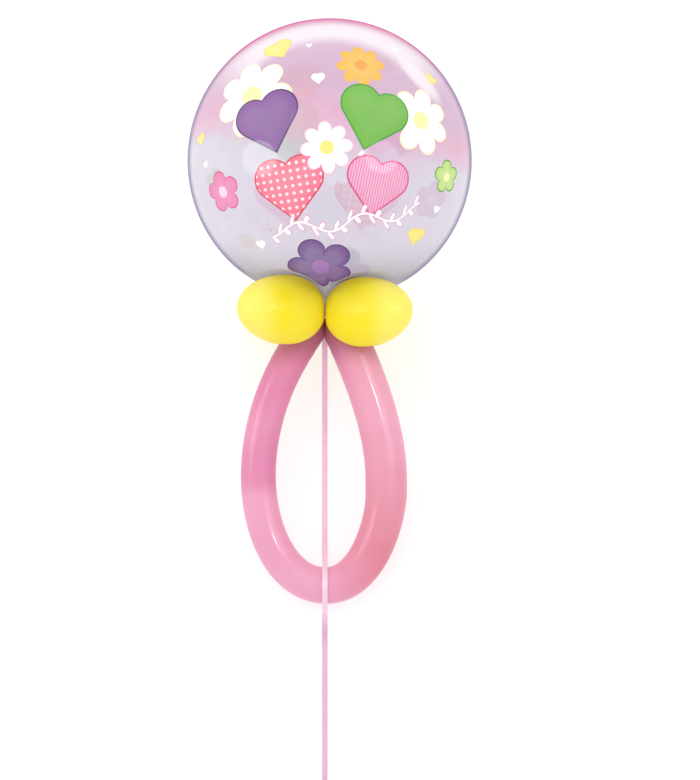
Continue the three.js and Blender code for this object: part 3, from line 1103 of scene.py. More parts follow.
def make_object(
    name: str,
    points: np.ndarray,
    faces: list[tuple[int, ...]],
    material: bpy.types.Material,
    smooth: bool = True,
) -> bpy.types.Object:
    """A mesh object at the origin, with its place in its mesh.

    Args:
        name: The piece's name.
        points: Its vertices, in metres.
        faces: Its faces.
        material: Its finish.
        smooth: Whether it is shaded smooth.

    Returns:
        The object, linked to the scene.
    """
    mesh = bpy.data.meshes.new(name)
    mesh.from_pydata(points.tolist(), [], faces)
    mesh.update()
    mesh.materials.append(material)
    mesh.polygons.foreach_set("use_smooth", [smooth] * len(mesh.polygons))
    made = bpy.data.objects.new(name, mesh)
    bpy.context.scene.collection.objects.link(made)
    return made


def ring_faces(rings: int, sides: int, first_pole: int, last_pole: int) -> list[tuple[int, ...]]:
    """Faces of a tube of rings, closed at both ends on a pole.

    Args:
        rings: How many rings.
        sides: Vertices in each ring.
        first_pole: The index of the vertex that closes the first ring.
        last_pole: The index of the vertex that closes the last ring.

    Returns:
        The faces.
    """
    faces: list[tuple[int, ...]] = []
    for i in range(rings - 1):
        for j in range(sides):
            a, b = i * sides + j, i * sides + (j + 1) % sides
            faces.append((a, a + sides, b + sides, b))
    last = (rings - 1) * sides
    for j in range(sides):
        faces.append((first_pole, j, (j + 1) % sides))
        faces.append((last_pole, last + (j + 1) % sides, last + j))
    return faces


def turned_rings(profile: list[Pair], sides: int, poles: Pair) -> np.ndarray:
    """The vertices of an outline turned about the y axis, ring by ring and then its two poles.

    Args:
        profile: The outline, as radius and height.
        sides: Vertices in each ring.
        poles: The heights of the vertices that close the first and the last ring.

    Returns:
        The vertices.
    """
    around = np.linspace(0, 2 * math.pi, sides, endpoint=False)
    rows = [np.c_[r * np.cos(around), np.full(sides, h), r * np.sin(around)] for r, h in profile]
    rows.append(np.array([[0, poles[0], 0], [0, poles[1], 0]]))
    return np.vstack(rows)


def face_out(piece: bpy.types.Object) -> None:
    """Turns every face of a closed piece outwards.

    Args:
        piece: The piece.
    """
    made = bmesh.new()
    made.from_mesh(piece.data)
    bmesh.ops.recalc_face_normals(made, faces=made.faces)
    made.to_mesh(piece.data)
    made.free()


@dataclass(frozen=True)
class SmallBalloon:
    """One small balloon of the collar: an egg with its blunt end inwards, and a short neck."""

    name: str
    side: int
    face: int
    girth: float = 0.068
    reach: float = 0.105
    outer: float = 0.118
    inner: float = 0.084
    neck_radius: float = 0.0045
    neck_start: float = 0.0105
    neck_length: float = 0.005
    neck_flare: float = 1.6
    rises: Pair = (1.5, 1.6)
    drops: Pair = (0.0022, 0.007)

    def axis(self) -> np.ndarray:
        """The unit vector from the collar's middle outwards."""
        rise = math.radians(self.rises[self.side > 0])
        across = math.cos(rise) / math.sqrt(2)
        return np.array([self.side * across, math.sin(rise), self.face * across])

    def origin(self) -> np.ndarray:
        """The point on the arrangement's middle line that the balloon hangs from."""
        return np.array([0.0, -self.drops[self.side > 0], 0.0])

    def reach_to(self, start: np.ndarray, direction: np.ndarray, margin: float) -> np.ndarray:
        """How far rays go before they meet the balloon, grown by a margin.

        Args:
            start: The rays' starting points, one for each ray.
            direction: Their unit directions.
            margin: How far the balloon is grown.

        Returns:
            The distances, infinite where a ray misses.
        """
        axis = self.axis()
        base = start - self.origin()
        along = direction @ axis
        base_along = base @ axis
        offset = base_along - self.reach
        girth = (self.girth + margin) ** 2
        nearest = np.full(len(direction), np.inf)
        for half, length in ((1, self.outer), (-1, self.inner)):
            squared = (length + margin) ** 2
            a = along**2 / squared + (1 - along**2) / girth
            b = offset * along / squared + ((base * direction).sum(1) - base_along * along) / girth
            c = offset**2 / squared + ((base**2).sum(1) - base_along**2) / girth - 1
            inside = b * b - a * c
            distance = (-b - np.sqrt(np.maximum(inside, 0))) / a
            hit = (inside >= 0) & (distance > 0) & ((offset + distance * along) * half >= 0)
            nearest = np.where(hit & (distance < nearest), distance, nearest)
        return nearest

    def points(self, sides: int, rings: int, gap: float, softness: float) -> tuple[np.ndarray, int]:
        """The balloon's vertices in the upright frame, ring by ring and then the two poles.

        Args:
            sides: Vertices in each ring.
            rings: Rings on each half of the egg.
            gap: How far the balloon stays off its neighbours' half of the space.
            softness: How broadly it is pressed flat there.

        Returns:
            The vertices and the number of rings.
        """
        neck_end = self.neck_start + self.neck_length
        profile = [(self.neck_radius, self.neck_start), (self.neck_radius, neck_end)]
        for i in range(1, rings + 1):
            angle = math.pi / 2 * i / rings
            across = self.girth * math.sin(angle)
            if across > self.neck_flare * self.neck_radius:
                profile.append((across, self.reach - self.inner * math.cos(angle)))
        for i in range(1, rings):
            angle = math.pi / 2 * i / rings
            profile.append((self.girth * math.cos(angle), self.reach + self.outer * math.sin(angle)))
        axis = Vector(self.axis())
        turn = np.array(Vector((0, 1, 0)).rotation_difference(axis).to_matrix())
        rings_and_poles = turned_rings(profile, sides, (self.neck_start, self.reach + self.outer))
        points = rings_and_poles @ turn.T + self.origin()
        for column, sign in ((0, self.side), (2, self.face)):
            points[:, column] = -sign * soft_min(-sign * points[:, column], -gap / 2, softness)
        return points, len(profile)


SMALL_BALLOONS = tuple(
    SmallBalloon(f"small_balloon_{depth}_{hand}", side, face)
    for depth, face in (("front", 1), ("back", -1))
    for hand, side in (("left", -1), ("right", 1))
)


def pressed_reach(
    start: np.ndarray,
    direction: np.ndarray,
    reach: np.ndarray,
    gap: float,
    softness: float,
    steps: tuple[float, ...] = (0.0,),
) -> np.ndarray:
    """Lengths along rays, shortened where the small balloons press a skin in.

    Args:
        start: The rays' starting points.
        direction: Their unit directions.
        reach: Their lengths.
        gap: How far the skin stays off the small balloons.
        softness: How broadly the skin turns into a dent.
        steps: How far outwards the dent of each small balloon is carried on.

    Returns:
        The shortened lengths.
    """
    far_off = 9.0
    for small in SMALL_BALLOONS:
        for step in steps:
            limit = small.reach_to(start - np.array([0.0, 0.0, small.face * step]), direction, gap)
            pressed = soft_min(reach, np.where(np.isfinite(limit), limit, far_off), softness)
            reach = np.where(np.isfinite(limit), pressed, reach)
    return reach


@dataclass(frozen=True)
class Upright:
    """The arrangement's own frame, and how it leans back onto the floor."""

    bubble_radius: float = 0.280
    bubble_flat: float = 0.0025
    bubble_lift: float = 0.295
    bubble_offset: float = MIDDLE_OFFSET
    loop_drop: float = 0.542
    loop_radius: float = 0.036
    loop_flat: float = 0.0015

    @property
    def lean(self) -> float:
        """The slope of the upright axis above the floor, in radians."""
        fall = (self.bubble_radius - self.bubble_flat) - (self.loop_radius - self.loop_flat)
        return math.asin(fall / (self.bubble_lift + self.loop_drop))

    def matrix(self) -> Matrix:
        """The matrix from the upright frame to the floor's frame."""
        height = self.bubble_radius - self.bubble_flat - self.bubble_lift * math.sin(self.lean)
        bubble_end = self.bubble_lift * math.cos(self.lean) + self.bubble_radius
        loop_end = -self.loop_drop * math.cos(self.lean) - self.loop_radius
        place = Matrix.Translation((-self.bubble_offset, -(bubble_end + loop_end) / 2, height))
        return place @ Matrix.Rotation(self.lean, 4, "X")

    def lay(self, points: np.ndarray, rest: bool = False) -> np.ndarray:
        """Moves points from the upright frame to the floor's frame.

        Args:
            points: Points in the upright frame.
            rest: Whether what would be under the floor is pressed flat onto it.

        Returns:
            The points in the floor's frame.
        """
        matrix = np.array(self.matrix())
        laid = points @ matrix[:3, :3].T + matrix[:3, 3]
        if rest:
            laid[:, 2] = np.maximum(laid[:, 2], 0.0)
        return laid


def lay_piece(piece: bpy.types.Object, upright: Upright, rest: bool = False) -> None:
    """Moves a piece's vertices from the upright frame to the floor's frame.

    Args:
        piece: The piece.
        upright: The upright frame.
        rest: Whether what would be under the floor is pressed flat onto it.
    """
    flat = np.empty(len(piece.data.vertices) * 3)
    piece.data.vertices.foreach_get("co", flat)
    laid = upright.lay(flat.reshape(-1, 3), rest)
    piece.data.vertices.foreach_set("co", laid.ravel())
    piece.data.update()


def finish_piece(piece: bpy.types.Object, slot: Slot, *nodes: str) -> None:
    """Makes a piece ride on the body and stand for its solids.

    Args:
        piece: The piece.
        slot: The record's slot that its finish is for; not used.
        nodes: The solids that it stands for.
    """
    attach(piece, BODY)
    if nodes:
        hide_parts(*nodes)
    LOG.info("%s: %d faces", piece.name, len(piece.data.polygons))


def gather_tree() -> bpy.types.NodeTree:
    """A geometry tree that folds a skin into pleats where it is gathered into a neck.

    Returns:
        A tree that takes Geometry, Material, Tie, Side, Front, Pleats, Depth, Reach and Unevenness.
    """
    inputs = {
        "Geometry": (Socket.GEOMETRY, None),
        "Material": (Socket.MATERIAL, None),
        "Tie": (Socket.VECTOR, None),
        "Side": (Socket.VECTOR, (1, 0, 0)),
        "Front": (Socket.VECTOR, (0, 0, 1)),
        "Pleats": (Socket.VALUE, 18.0),
        "Depth": (Socket.VALUE, 0.1),
        "Reach": (Socket.VALUE, 0.1),
        "Unevenness": (Socket.VALUE, 1.0),
    }
    tree, start, end = new_group("Gathered neck", "GeometryNodeTree", inputs, {"Geometry": Socket.GEOMETRY})
    offset = tree.vector("SUBTRACT", tree.add("GeometryNodeInputPosition").outputs[0], start.outputs["Tie"])
    across = tree.vector("DOT_PRODUCT", offset, start.outputs["Side"])
    ahead = tree.vector("DOT_PRODUCT", offset, start.outputs["Front"])
    sideways = tree.vector("SCALE", start.outputs["Side"], across)
    radial = tree.vector("ADD", sideways, tree.vector("SCALE", start.outputs["Front"], ahead))
    angle = tree.math("ARCTAN2", ahead, across)
    third = tree.math("SINE", tree.math("MULTIPLY", angle, 3.0))
    uneven = tree.math("MULTIPLY", third, start.outputs["Unevenness"])
    phase = tree.math("MULTIPLY_ADD", angle, start.outputs["Pleats"], uneven)
    share = tree.math("DIVIDE", tree.vector("LENGTH", offset), start.outputs["Reach"])
    fade = tree.step(share, 0.25, 1.0, 1, 0)
    depth = tree.math("MULTIPLY", tree.math("SINE", phase), start.outputs["Depth"])
    move = tree.vector("SCALE", radial, tree.math("MULTIPLY", depth, fade))
    shifted = tree.add("GeometryNodeSetPosition")
    tree.feed(shifted.inputs["Geometry"], start.outputs["Geometry"])
    tree.feed(shifted.inputs["Offset"], move)
    tree.feed(end.inputs["Geometry"], tree.dress(shifted.outputs[0], start.outputs["Material"]))
    return tree.tree


def wrap_tree() -> bpy.types.NodeTree:
    """A geometry tree that winds a flat ribbon round a neck.

    Returns:
        A tree that takes Geometry, Material, Place, Turn, Radius, Turns, Height, Width and Thickness.
    """
    inputs = {
        "Geometry": (Socket.GEOMETRY, None),
        "Material": (Socket.MATERIAL, None),
        "Place": (Socket.VECTOR, None),
        "Turn": (Socket.VECTOR, None),
        "Radius": (Socket.VALUE, 0.008),
        "Turns": (Socket.VALUE, 3.0),
        "Height": (Socket.VALUE, 0.001),
        "Width": (Socket.VALUE, 0.005),
        "Thickness": (Socket.VALUE, 0.0005),
    }
    tree, start, end = new_group("Wound ribbon", "GeometryNodeTree", inputs, {"Geometry": Socket.GEOMETRY})
    spiral = tree.add("GeometryNodeCurveSpiral")
    spiral.inputs["Resolution"].default_value = 32
    tree.feed(spiral.inputs["Rotations"], start.outputs["Turns"])
    tree.feed(spiral.inputs["Start Radius"], start.outputs["Radius"])
    layers = 3.2
    growth = tree.math("MULTIPLY_ADD", start.outputs["Thickness"], layers, start.outputs["Radius"])
    tree.feed(spiral.inputs["End Radius"], growth)
    tree.feed(spiral.inputs["Height"], start.outputs["Height"])
    section = tree.add("GeometryNodeCurvePrimitiveQuadrilateral")
    tree.feed(section.inputs["Width"], start.outputs["Thickness"])
    tree.feed(section.inputs["Height"], start.outputs["Width"])
    swept = tree.add("GeometryNodeCurveToMesh")
    swept.inputs["Fill Caps"].default_value = True
    tree.feed(swept.inputs["Curve"], spiral.outputs[0])
    tree.feed(swept.inputs["Profile Curve"], section.outputs[0])
    placed = tree.add("GeometryNodeTransform")
    tree.feed(placed.inputs["Geometry"], swept.outputs[0])
    tree.feed(placed.inputs["Translation"], start.outputs["Place"])
    tree.feed(placed.inputs["Rotation"], start.outputs["Turn"])
    tree.feed(end.inputs["Geometry"], tree.dress(placed.outputs[0], start.outputs["Material"]))
    return tree.tree


def bake_tree(piece: bpy.types.Object, group: bpy.types.NodeTree, **values: object) -> None:
    """Runs a geometry tree on a piece and keeps the result as its plain mesh.

    Args:
        piece: The piece.
        group: The tree.
        values: The tree's inputs by name.
    """
    modifier = piece.modifiers.new(group.name, "NODES")
    modifier.node_group = group
    for item in group.interface.items_tree:
        if item.in_out == "INPUT" and item.name in values:
            modifier[item.identifier] = values[item.name]
    evaluated = piece.evaluated_get(bpy.context.evaluated_depsgraph_get())
    mesh = bpy.data.meshes.new_from_object(evaluated)
    piece.modifiers.remove(modifier)
    piece.data = mesh
    mesh.name = piece.name


@dataclass
class BubbleBalloon:
    """The clear bubble: a sphere whose film gathers into a neck, dented by the collar."""

    upright: Upright
    effects: Effects
    gather: bpy.types.NodeTree
    sides: int = 192
    fine_rings: int = 56
    coarse_rings: int = 84
    tail_radius: float = 0.007
    tail_end: float = -0.013
    tail_flare: float = 46.0
    tail_length: float = 0.030
    film_gap: float = 0.0008
    softness: float = 0.026
    ahead: tuple[float, ...] = (0.0, 0.030, 0.060)
    first_angle: float = 3.0
    hollow: float = 0.010
    lip: float = 0.002
    lip_share: float = 0.8

    def centre(self) -> np.ndarray:
        """The bubble's centre in the upright frame."""
        return np.array([self.upright.bubble_offset, self.upright.bubble_lift, 0.0])

    def profile(self) -> list[Pair]:
        """The film's outline from the end of its neck to its crown, as radius and height."""
        radius = self.upright.bubble_radius
        flare = math.radians(self.tail_flare)
        first = math.radians(self.first_angle)
        to_tie = float(np.linalg.norm(self.centre())) - self.tail_end
        gather_top = to_tie - self.tail_length
        outline = [(self.tail_radius * self.lip_share, -to_tie), (self.tail_radius, -to_tie + self.lip)]
        outline.append((self.tail_radius, -(to_tie + gather_top) / 2))
        for i in range(self.fine_rings + 1):
            angle = first + (flare - first) * i / self.fine_rings
            gather = max(0.0, 1 - angle / flare) ** 2
            reach = radius + (gather_top - radius) * gather - self.hollow * gather * (1 - gather)
            outline.append((reach * math.sin(angle), -reach * math.cos(angle)))
        for i in range(1, self.coarse_rings):
            angle = flare + (math.pi - flare) * i / self.coarse_rings
            outline.append((radius * math.sin(angle), -radius * math.cos(angle)))
        return outline

    def build(self) -> None:
        """Makes the film's mesh, with its dents, its pleats and the map for its print."""
        outline = self.profile()
        rings = turned_rings(outline, self.sides, (outline[0][1], self.upright.bubble_radius))
        turn = Matrix.Rotation(-math.atan2(self.upright.bubble_offset, self.upright.bubble_lift), 3, "Z")
        offsets = rings @ np.array(turn).T
        reach = np.linalg.norm(offsets, axis=1)
        direction = offsets / reach[:, None]
        start = np.broadcast_to(self.centre(), direction.shape)
        pressed = pressed_reach(start, direction, reach, self.film_gap, self.softness, self.ahead)
        points = self.centre() + direction * pressed[:, None]
        count = len(outline)
        faces = ring_faces(count, self.sides, count * self.sides, count * self.sides + 1)
        collar = tuple(self.upright.matrix().translation)
        material = PrintedFilm(self.upright.bubble_radius, collar).build(self.effects)
        piece = make_object("bubble_balloon_film", points, faces, material)
        face_out(piece)
        self._map_print(piece.data, direction)
        bake_tree(
            piece,
            self.gather,
            Material=material,
            Tie=(0.0, self.tail_end, 0.0),
            Pleats=26.0,
            Depth=0.05,
            Reach=0.13,
            Unevenness=2.0,
        )
        lay_piece(piece, self.upright, rest=True)
        finish_piece(piece, Slot.FILM, "bubble_balloon")

    def _map_print(self, mesh: bpy.types.Mesh, direction: np.ndarray) -> None:
        """Gives the film a map in metres along it from the middle of the front and of the back.

        Args:
            mesh: The film's mesh.
            direction: Each vertex's direction from the bubble's centre.
        """
        layer = mesh.uv_layers.new(name="print")
        radius = self.upright.bubble_radius
        flat = np.hypot(direction[:, 0], direction[:, 1])
        angle = np.arctan2(flat, np.abs(direction[:, 2]))
        stretch = radius * np.where(flat > 1e-9, angle / np.maximum(flat, 1e-9), 1.0)
        across, up = direction[:, 0] * stretch, direction[:, 1] * stretch
        for polygon in mesh.polygons:
            hand = 1 if sum(direction[v][2] for v in polygon.vertices) >= 0 else -1
            for loop in polygon.loop_indices:
                vertex = mesh.loops[loop].vertex_index
                layer.data[loop].uv = (hand * across[vertex], up[vertex])


@dataclass
class Collar:
    """The four small balloons that press against each other under the bubble."""

    upright: Upright
    gather: bpy.types.NodeTree
    material: bpy.types.Material
    sides: int = 96
    rings: int = 30
    gap: float = 0.0003
    softness: float = 0.005
    tie_reach: float = 0.004

    def build(self) -> None:
        """Makes each small balloon, with the pleats at its neck."""
        for small in SMALL_BALLOONS:
            points, rings = small.points(self.sides, self.rings, self.gap, self.softness)
            faces = ring_faces(rings, self.sides, rings * self.sides, rings * self.sides + 1)
            piece = make_object(small.name + "_skin", points, faces, self.material)
            face_out(piece)
            axis = Vector(small.axis())
            side = axis.cross(Vector((0, 1, 0))).normalized()
            bake_tree(
                piece,
                self.gather,
                Material=self.material,
                Tie=tuple(small.origin() + self.tie_reach * small.axis()),
                Side=tuple(side),
                Front=tuple(axis.cross(side).normalized()),
                Pleats=14.0,
                Depth=0.05,
                Reach=0.055,
                Unevenness=1.0,
            )
            lay_piece(piece, self.upright)
            finish_piece(piece, Slot.YELLOW, small.name)


@dataclass
class LoopBalloon:
    """The long balloon, bent into a loop, rounded off at both ends and knotted end to end."""

    upright: Upright
    material: bpy.types.Material
    left_radius: float = 0.0345
    bottom_radius: float = 0.036
    right_radius: float = 0.041
    tie: Pair = (0.0025, -0.024)
    shoulder: Pair = (0.050, -0.066)
    shoulder_slopes: Pair = (30.0, 24.0)
    end_angle: float = 55.0
    end_arm: float = 0.016
    shoulder_arm: float = 0.024
    left: Pair = (-0.131, -0.328)
    bottom: Pair = (0.003, -0.542)
    right: Pair = (0.121, -0.358)
    upper_arms: Pair = (0.022, 0.190)
    left_arms: Pair = (0.145, 0.097)
    bottom_arms: Pair = (0.090, 0.080)
    right_arms: Pair = (0.060, 0.041)
    neck_radius: float = 0.0035
    knot_radius: float = 0.006
    knot_half: float = 0.007
    knot_rings: int = 16
    knot_sides: int = 32
    creases: int = 5
    crease_twist: float = 3.0
    crease_depth: float = 0.08
    gap: float = 0.0003
    film_gap: float = 0.0008
    softness: float = 0.008
    middle_softness: float = 0.002
    sides: int = 64
    steps: int = 36

    def stretches(self) -> list[np.ndarray]:
        """The centre line's cubic stretches, from the tie down the left and up the right."""

        def slope(angle: float, length: float) -> Pair:
            """The parts across and down of a length that leans from upright, its angle in degrees."""
            turn = math.radians(angle)
            return length * math.sin(turn), length * math.cos(turn)

        tie_x, tie_y = self.tie
        x, y = self.shoulder
        end_x, end_y = slope(self.end_angle, self.end_arm)
        left_top = slope(self.shoulder_slopes[0], self.shoulder_arm)
        right_top = slope(self.shoulder_slopes[1], self.shoulder_arm)
        left_x, left_y = slope(self.shoulder_slopes[0], self.upper_arms[0])
        right_x, right_y = slope(self.shoulder_slopes[1], self.upper_arms[1])
        left, bottom, right = self.left, self.bottom, self.right
        above_left = (left[0], left[1] + self.left_arms[0])
        below_left = (left[0], left[1] - self.left_arms[1])
        left_of_bottom = (bottom[0] - self.bottom_arms[0], bottom[1])
        right_of_bottom = (bottom[0] + self.bottom_arms[1], bottom[1])
        below_right = (right[0], right[1] - self.right_arms[0])
        above_right = (right[0], right[1] + self.right_arms[1])
        rows = [
            [
                (-tie_x, tie_y),
                (-tie_x - end_x, tie_y - end_y),
                (-x + left_top[0], y + left_top[1]),
                (-x, y),
            ],
            [(-x, y), (-x - left_x, y - left_y), above_left, left],
            [left, below_left, left_of_bottom, bottom],
            [bottom, right_of_bottom, below_right, right],
            [right, above_right, (x + right_x, y - right_y), (x, y)],
            [
                (x, y),
                (x - right_top[0], y + right_top[1]),
                (tie_x + end_x, tie_y - end_y),
                (tie_x, tie_y),
            ],
        ]
        return [np.array([(*point, 0.0) for point in row]) for row in rows]

    def rings(self) -> list[tuple[np.ndarray, np.ndarray, float, int]]:
        """Each ring's centre, tangent, radius and the side of the middle that it keeps to."""
        full = [self.left_radius] * 3 + [self.bottom_radius] + [self.right_radius] * 3
        found = []
        for index, row in enumerate(self.stretches()):
            first, last = full[index], full[index + 1]
            for i in range(0 if index == 0 else 1, self.steps + 1):
                t = i / self.steps
                s = 1 - t
                centre = s**3 * row[0] + 3 * s * s * t * row[1] + 3 * s * t * t * row[2] + t**3 * row[3]
                arms = np.diff(row, axis=0)
                tangent = s * s * arms[0] + 2 * s * t * arms[1] + t * t * arms[2]
                from_tie = t if index == 0 else s
                is_end = index in (0, 5)
                round_off = math.sqrt(max(0.0, 1 - (1 - from_tie) ** 2)) if is_end else 1.0
                radius = self.neck_radius + (first + (last - first) * t - self.neck_radius) * round_off
                side = 0 if index in (2, 3) else (-1 if index < 3 else 1)
                found.append((centre, tangent / np.linalg.norm(tangent), radius, side))
        return found

    def build(self) -> None:
        """Makes the loop and the small knot that joins its ends, as one piece."""
        front = np.array([0.0, 0.0, 1.0])
        around = np.linspace(0, 2 * math.pi, self.sides, endpoint=False)
        rows = []
        found = self.rings()
        for centre, tangent, radius, side in found:
            across = np.cross(tangent, front)
            direction = np.outer(np.cos(around), across) + np.outer(np.sin(around), front)
            start = np.broadcast_to(centre, direction.shape)
            reach = np.full(self.sides, radius)
            reach = pressed_reach(start, direction, reach, self.film_gap, self.softness)
            points = centre + direction * reach[:, None]
            if side:
                points[:, 0] = -side * soft_min(-side * points[:, 0], -self.gap / 2, self.middle_softness)
            rows.append(points)
        rows.append(np.array([found[0][0], found[-1][0]]))
        tube = np.vstack(rows)
        count = len(found)
        faces = ring_faces(count, self.sides, count * self.sides, count * self.sides + 1)
        knot, knot_faces = self._knot()
        faces += [tuple(len(tube) + v for v in face) for face in knot_faces]
        laid = self.upright.lay(np.vstack([tube, knot]), rest=True)
        piece = make_object("loop_balloon_skin", laid, faces, self.material)
        face_out(piece)
        finish_piece(piece, Slot.PINK, "loop_balloon")

    def _knot(self) -> tuple[np.ndarray, list[tuple[int, ...]]]:
        """The knot between the two ends: a small lump, twisted and creased.

        Returns:
            Its vertices in the upright frame and its faces.
        """
        rings, sides = self.knot_rings, self.knot_sides
        bottom, top = self.tie[1] - self.knot_half, self.tie[1] + self.knot_half
        rows = []
        for i in range(rings):
            angle = math.pi * (i + 1) / (rings + 1)
            turn = np.linspace(0, 2 * math.pi, sides, endpoint=False)
            crease = 1 + self.crease_depth * np.sin(self.creases * turn + self.crease_twist * angle)
            radius = self.knot_radius * math.sin(angle) * crease
            height = np.full(sides, self.tie[1] - self.knot_half * math.cos(angle))
            rows.append(np.c_[radius * np.cos(turn), height, radius * np.sin(turn)])
        rows.append(np.array([[0, bottom, 0], [0, top, 0]]))
        return np.vstack(rows), ring_faces(rings, sides, rings * sides, rings * sides + 1)


@dataclass
class Ribbon:
    """The flat ribbon: down to the floor, over the end of the loop and into a coil."""

    material: bpy.types.Material
    width: float = 0.011
    thickness: float = 0.0005
    length: float = 1.80
    x: float = -MIDDLE_OFFSET
    twist_start: float = -0.870
    twist_end: float = -0.985
    coil_centre: Pair = (-0.0692, -0.992)
    coil_pitch: float = 0.0046
    step: float = 0.004
    curve_steps: int = 12
    run_points: int = 12
    coil_change: float = 0.03
    clearance: float = 0.0003
    round_from: float = 0.94
    side_share: float = 0.4
    route: tuple[Pair, ...] = (
        (-0.0146, 0.1772), (-0.0180, 0.1694), (-0.0222, 0.1620), (-0.0335, 0.1525),
        (-0.0470, 0.1420), (-0.0600, 0.1230), (-0.0780, 0.0920), (-0.0980, 0.0630),
        (-0.1180, 0.0405), (-0.1400, 0.0220), (-0.1650, 0.0088), (-0.1900, 0.0024),
        (-0.2150, 0.0009), (-0.3000, 0.0009), (-0.3870, 0.0009), (-0.4070, 0.0026),
        (-0.4270, 0.0083), (-0.4470, 0.0182), (-0.4670, 0.0325), (-0.4820, 0.0465),
        (-0.4933, 0.0589), (-0.5063, 0.0689), (-0.5142, 0.0717), (-0.5224, 0.0727),
        (-0.5306, 0.0717), (-0.5385, 0.0689), (-0.5515, 0.0589), (-0.5628, 0.0465),
        (-0.5778, 0.0325), (-0.5978, 0.0182), (-0.6178, 0.0083), (-0.6378, 0.0026),
        (-0.6578, 0.0009), (-0.7400, 0.0009), (-0.8300, 0.0009), (-0.9100, 0.0009),
        (-0.9620, 0.0009),
    )

    def _smooth_route(self) -> np.ndarray:
        """The route as closely spaced points on one smooth curve through its chosen points."""
        chosen = np.array([(self.x, y, z) for y, z in self.route])
        first = 2 * chosen[0] - chosen[1]
        last = 2 * chosen[-1] - chosen[-2]
        line = np.vstack([first, chosen, last])
        found = [chosen[0]]
        for p0, p1, p2, p3 in zip(line, line[1:], line[2:], line[3:]):
            gaps = [math.sqrt(np.linalg.norm(b - a)) for a, b in ((p0, p1), (p1, p2), (p2, p3))]
            slope_1 = (p1 - p0) / gaps[0] - (p2 - p0) / (gaps[0] + gaps[1]) + (p2 - p1) / gaps[1]
            slope_2 = (p2 - p1) / gaps[1] - (p3 - p1) / (gaps[1] + gaps[2]) + (p3 - p2) / gaps[2]
            slope_1, slope_2 = slope_1 * gaps[1], slope_2 * gaps[1]
            for t in np.linspace(0, 1, self.curve_steps + 1)[1:]:
                a, b = 2 * t**3 - 3 * t**2 + 1, t**3 - 2 * t**2 + t
                c, d = -2 * t**3 + 3 * t**2, t**3 - t**2
                found.append(a * p1 + b * slope_1 + c * p2 + d * slope_2)
        return np.array(found)

    def _with_coil(self, line: np.ndarray) -> np.ndarray:
        """Adds the run to the coil and the coil's turns, up to the ribbon's whole length.

        Args:
            line: The route in the floor's frame.

        Returns:
            The whole centre line.
        """
        centre = np.array([*self.coil_centre, 0.0])
        run_in = np.linspace(line[-1][1], centre[1], self.run_points)[1:]
        straight = np.c_[np.full(len(run_in), self.x), run_in, np.full(len(run_in), line[-1][2])]
        line = np.vstack([line, straight])
        laid = float(np.linalg.norm(np.diff(line, axis=0), axis=1).sum())
        radius = self.x - centre[0]
        angle, left, turns = 0.0, self.length - laid, []
        while left > 0:
            angle += self.coil_change
            reach = radius - self.coil_pitch * angle / (2 * math.pi)
            left -= reach * self.coil_change
            x, y = centre[0] + reach * math.cos(angle), centre[1] - reach * math.sin(angle)
            turns.append([x, y, line[-1][2]])
        return np.vstack([line, turns])

    def centre_line(self) -> tuple[np.ndarray, np.ndarray]:
        """Evenly spaced points along the whole ribbon, and how far it is turned on edge at each.

        Returns:
            The points, and the turn in radians from flat to on edge.
        """
        line = self._with_coil(self._smooth_route())
        edge = np.clip((self.twist_start - line[:, 1]) / (self.twist_start - self.twist_end), 0, 1)
        edge[np.argmax(line[:, 1] <= self.coil_centre[1] + 1e-6) :] = 1.0
        turn = (3 * edge**2 - 2 * edge**3) * math.pi / 2
        lift = (self.width / 2 + self.clearance) * np.sin(turn)
        line[:, 2] = np.maximum(line[:, 2], lift)
        along = np.r_[0, np.cumsum(np.linalg.norm(np.diff(line, axis=0), axis=1))]
        marks = np.linspace(0, along[-1], int(along[-1] / self.step))
        points = np.c_[[np.interp(marks, along, line[:, k]) for k in range(3)]].T
        return points, np.interp(marks, along, turn)

    def build(self) -> None:
        points, turn = self.centre_line()
        tangent = np.gradient(points, axis=0)
        tangent /= np.linalg.norm(tangent, axis=1)[:, None]
        flat = np.cross(np.cross(tangent, (1.0, 0.0, 0.0)), tangent)
        in_coil = turn > math.pi / 2 - 1e-6
        up = np.broadcast_to((0.0, 0.0, 1.0), flat.shape)
        flat[in_coil] = up[in_coil]
        flat /= np.linalg.norm(flat, axis=1)[:, None]
        normal = np.cross(tangent, flat)
        tilt = np.where(in_coil, 0.0, turn)[:, None]
        wide = flat * np.cos(tilt) - normal * np.sin(tilt)
        wide[(wide[:, 2] < 0) & in_coil] *= -1
        thin = np.cross(tangent, wide)
        half, face = self.width / 2, self.thickness / 2
        bend = self.round_from * half
        section = [(-half, -self.side_share), (-half, self.side_share), (-bend, 1)]
        section += [(-half / 3, 1), (half / 3, 1), (bend, 1)]
        section += [(-a, -b) for a, b in section]
        rows = [points + wide * a + thin * b * face for a, b in section]
        sides = len(section)
        rings = np.stack(rows, axis=1)
        count = len(points)
        grid = rings.reshape(-1, 3)
        ends = np.array([points[0], points[-1]])
        faces = ring_faces(count, sides, count * sides, count * sides + 1)
        piece = make_object("ribbon_strip", np.vstack([grid, ends]), faces, self.material)
        self._map_ribs(piece, section, sides, count)
        face_out(piece)
        finish_piece(piece, Slot.RIBBON, "ribbon", "ribbon_coil")

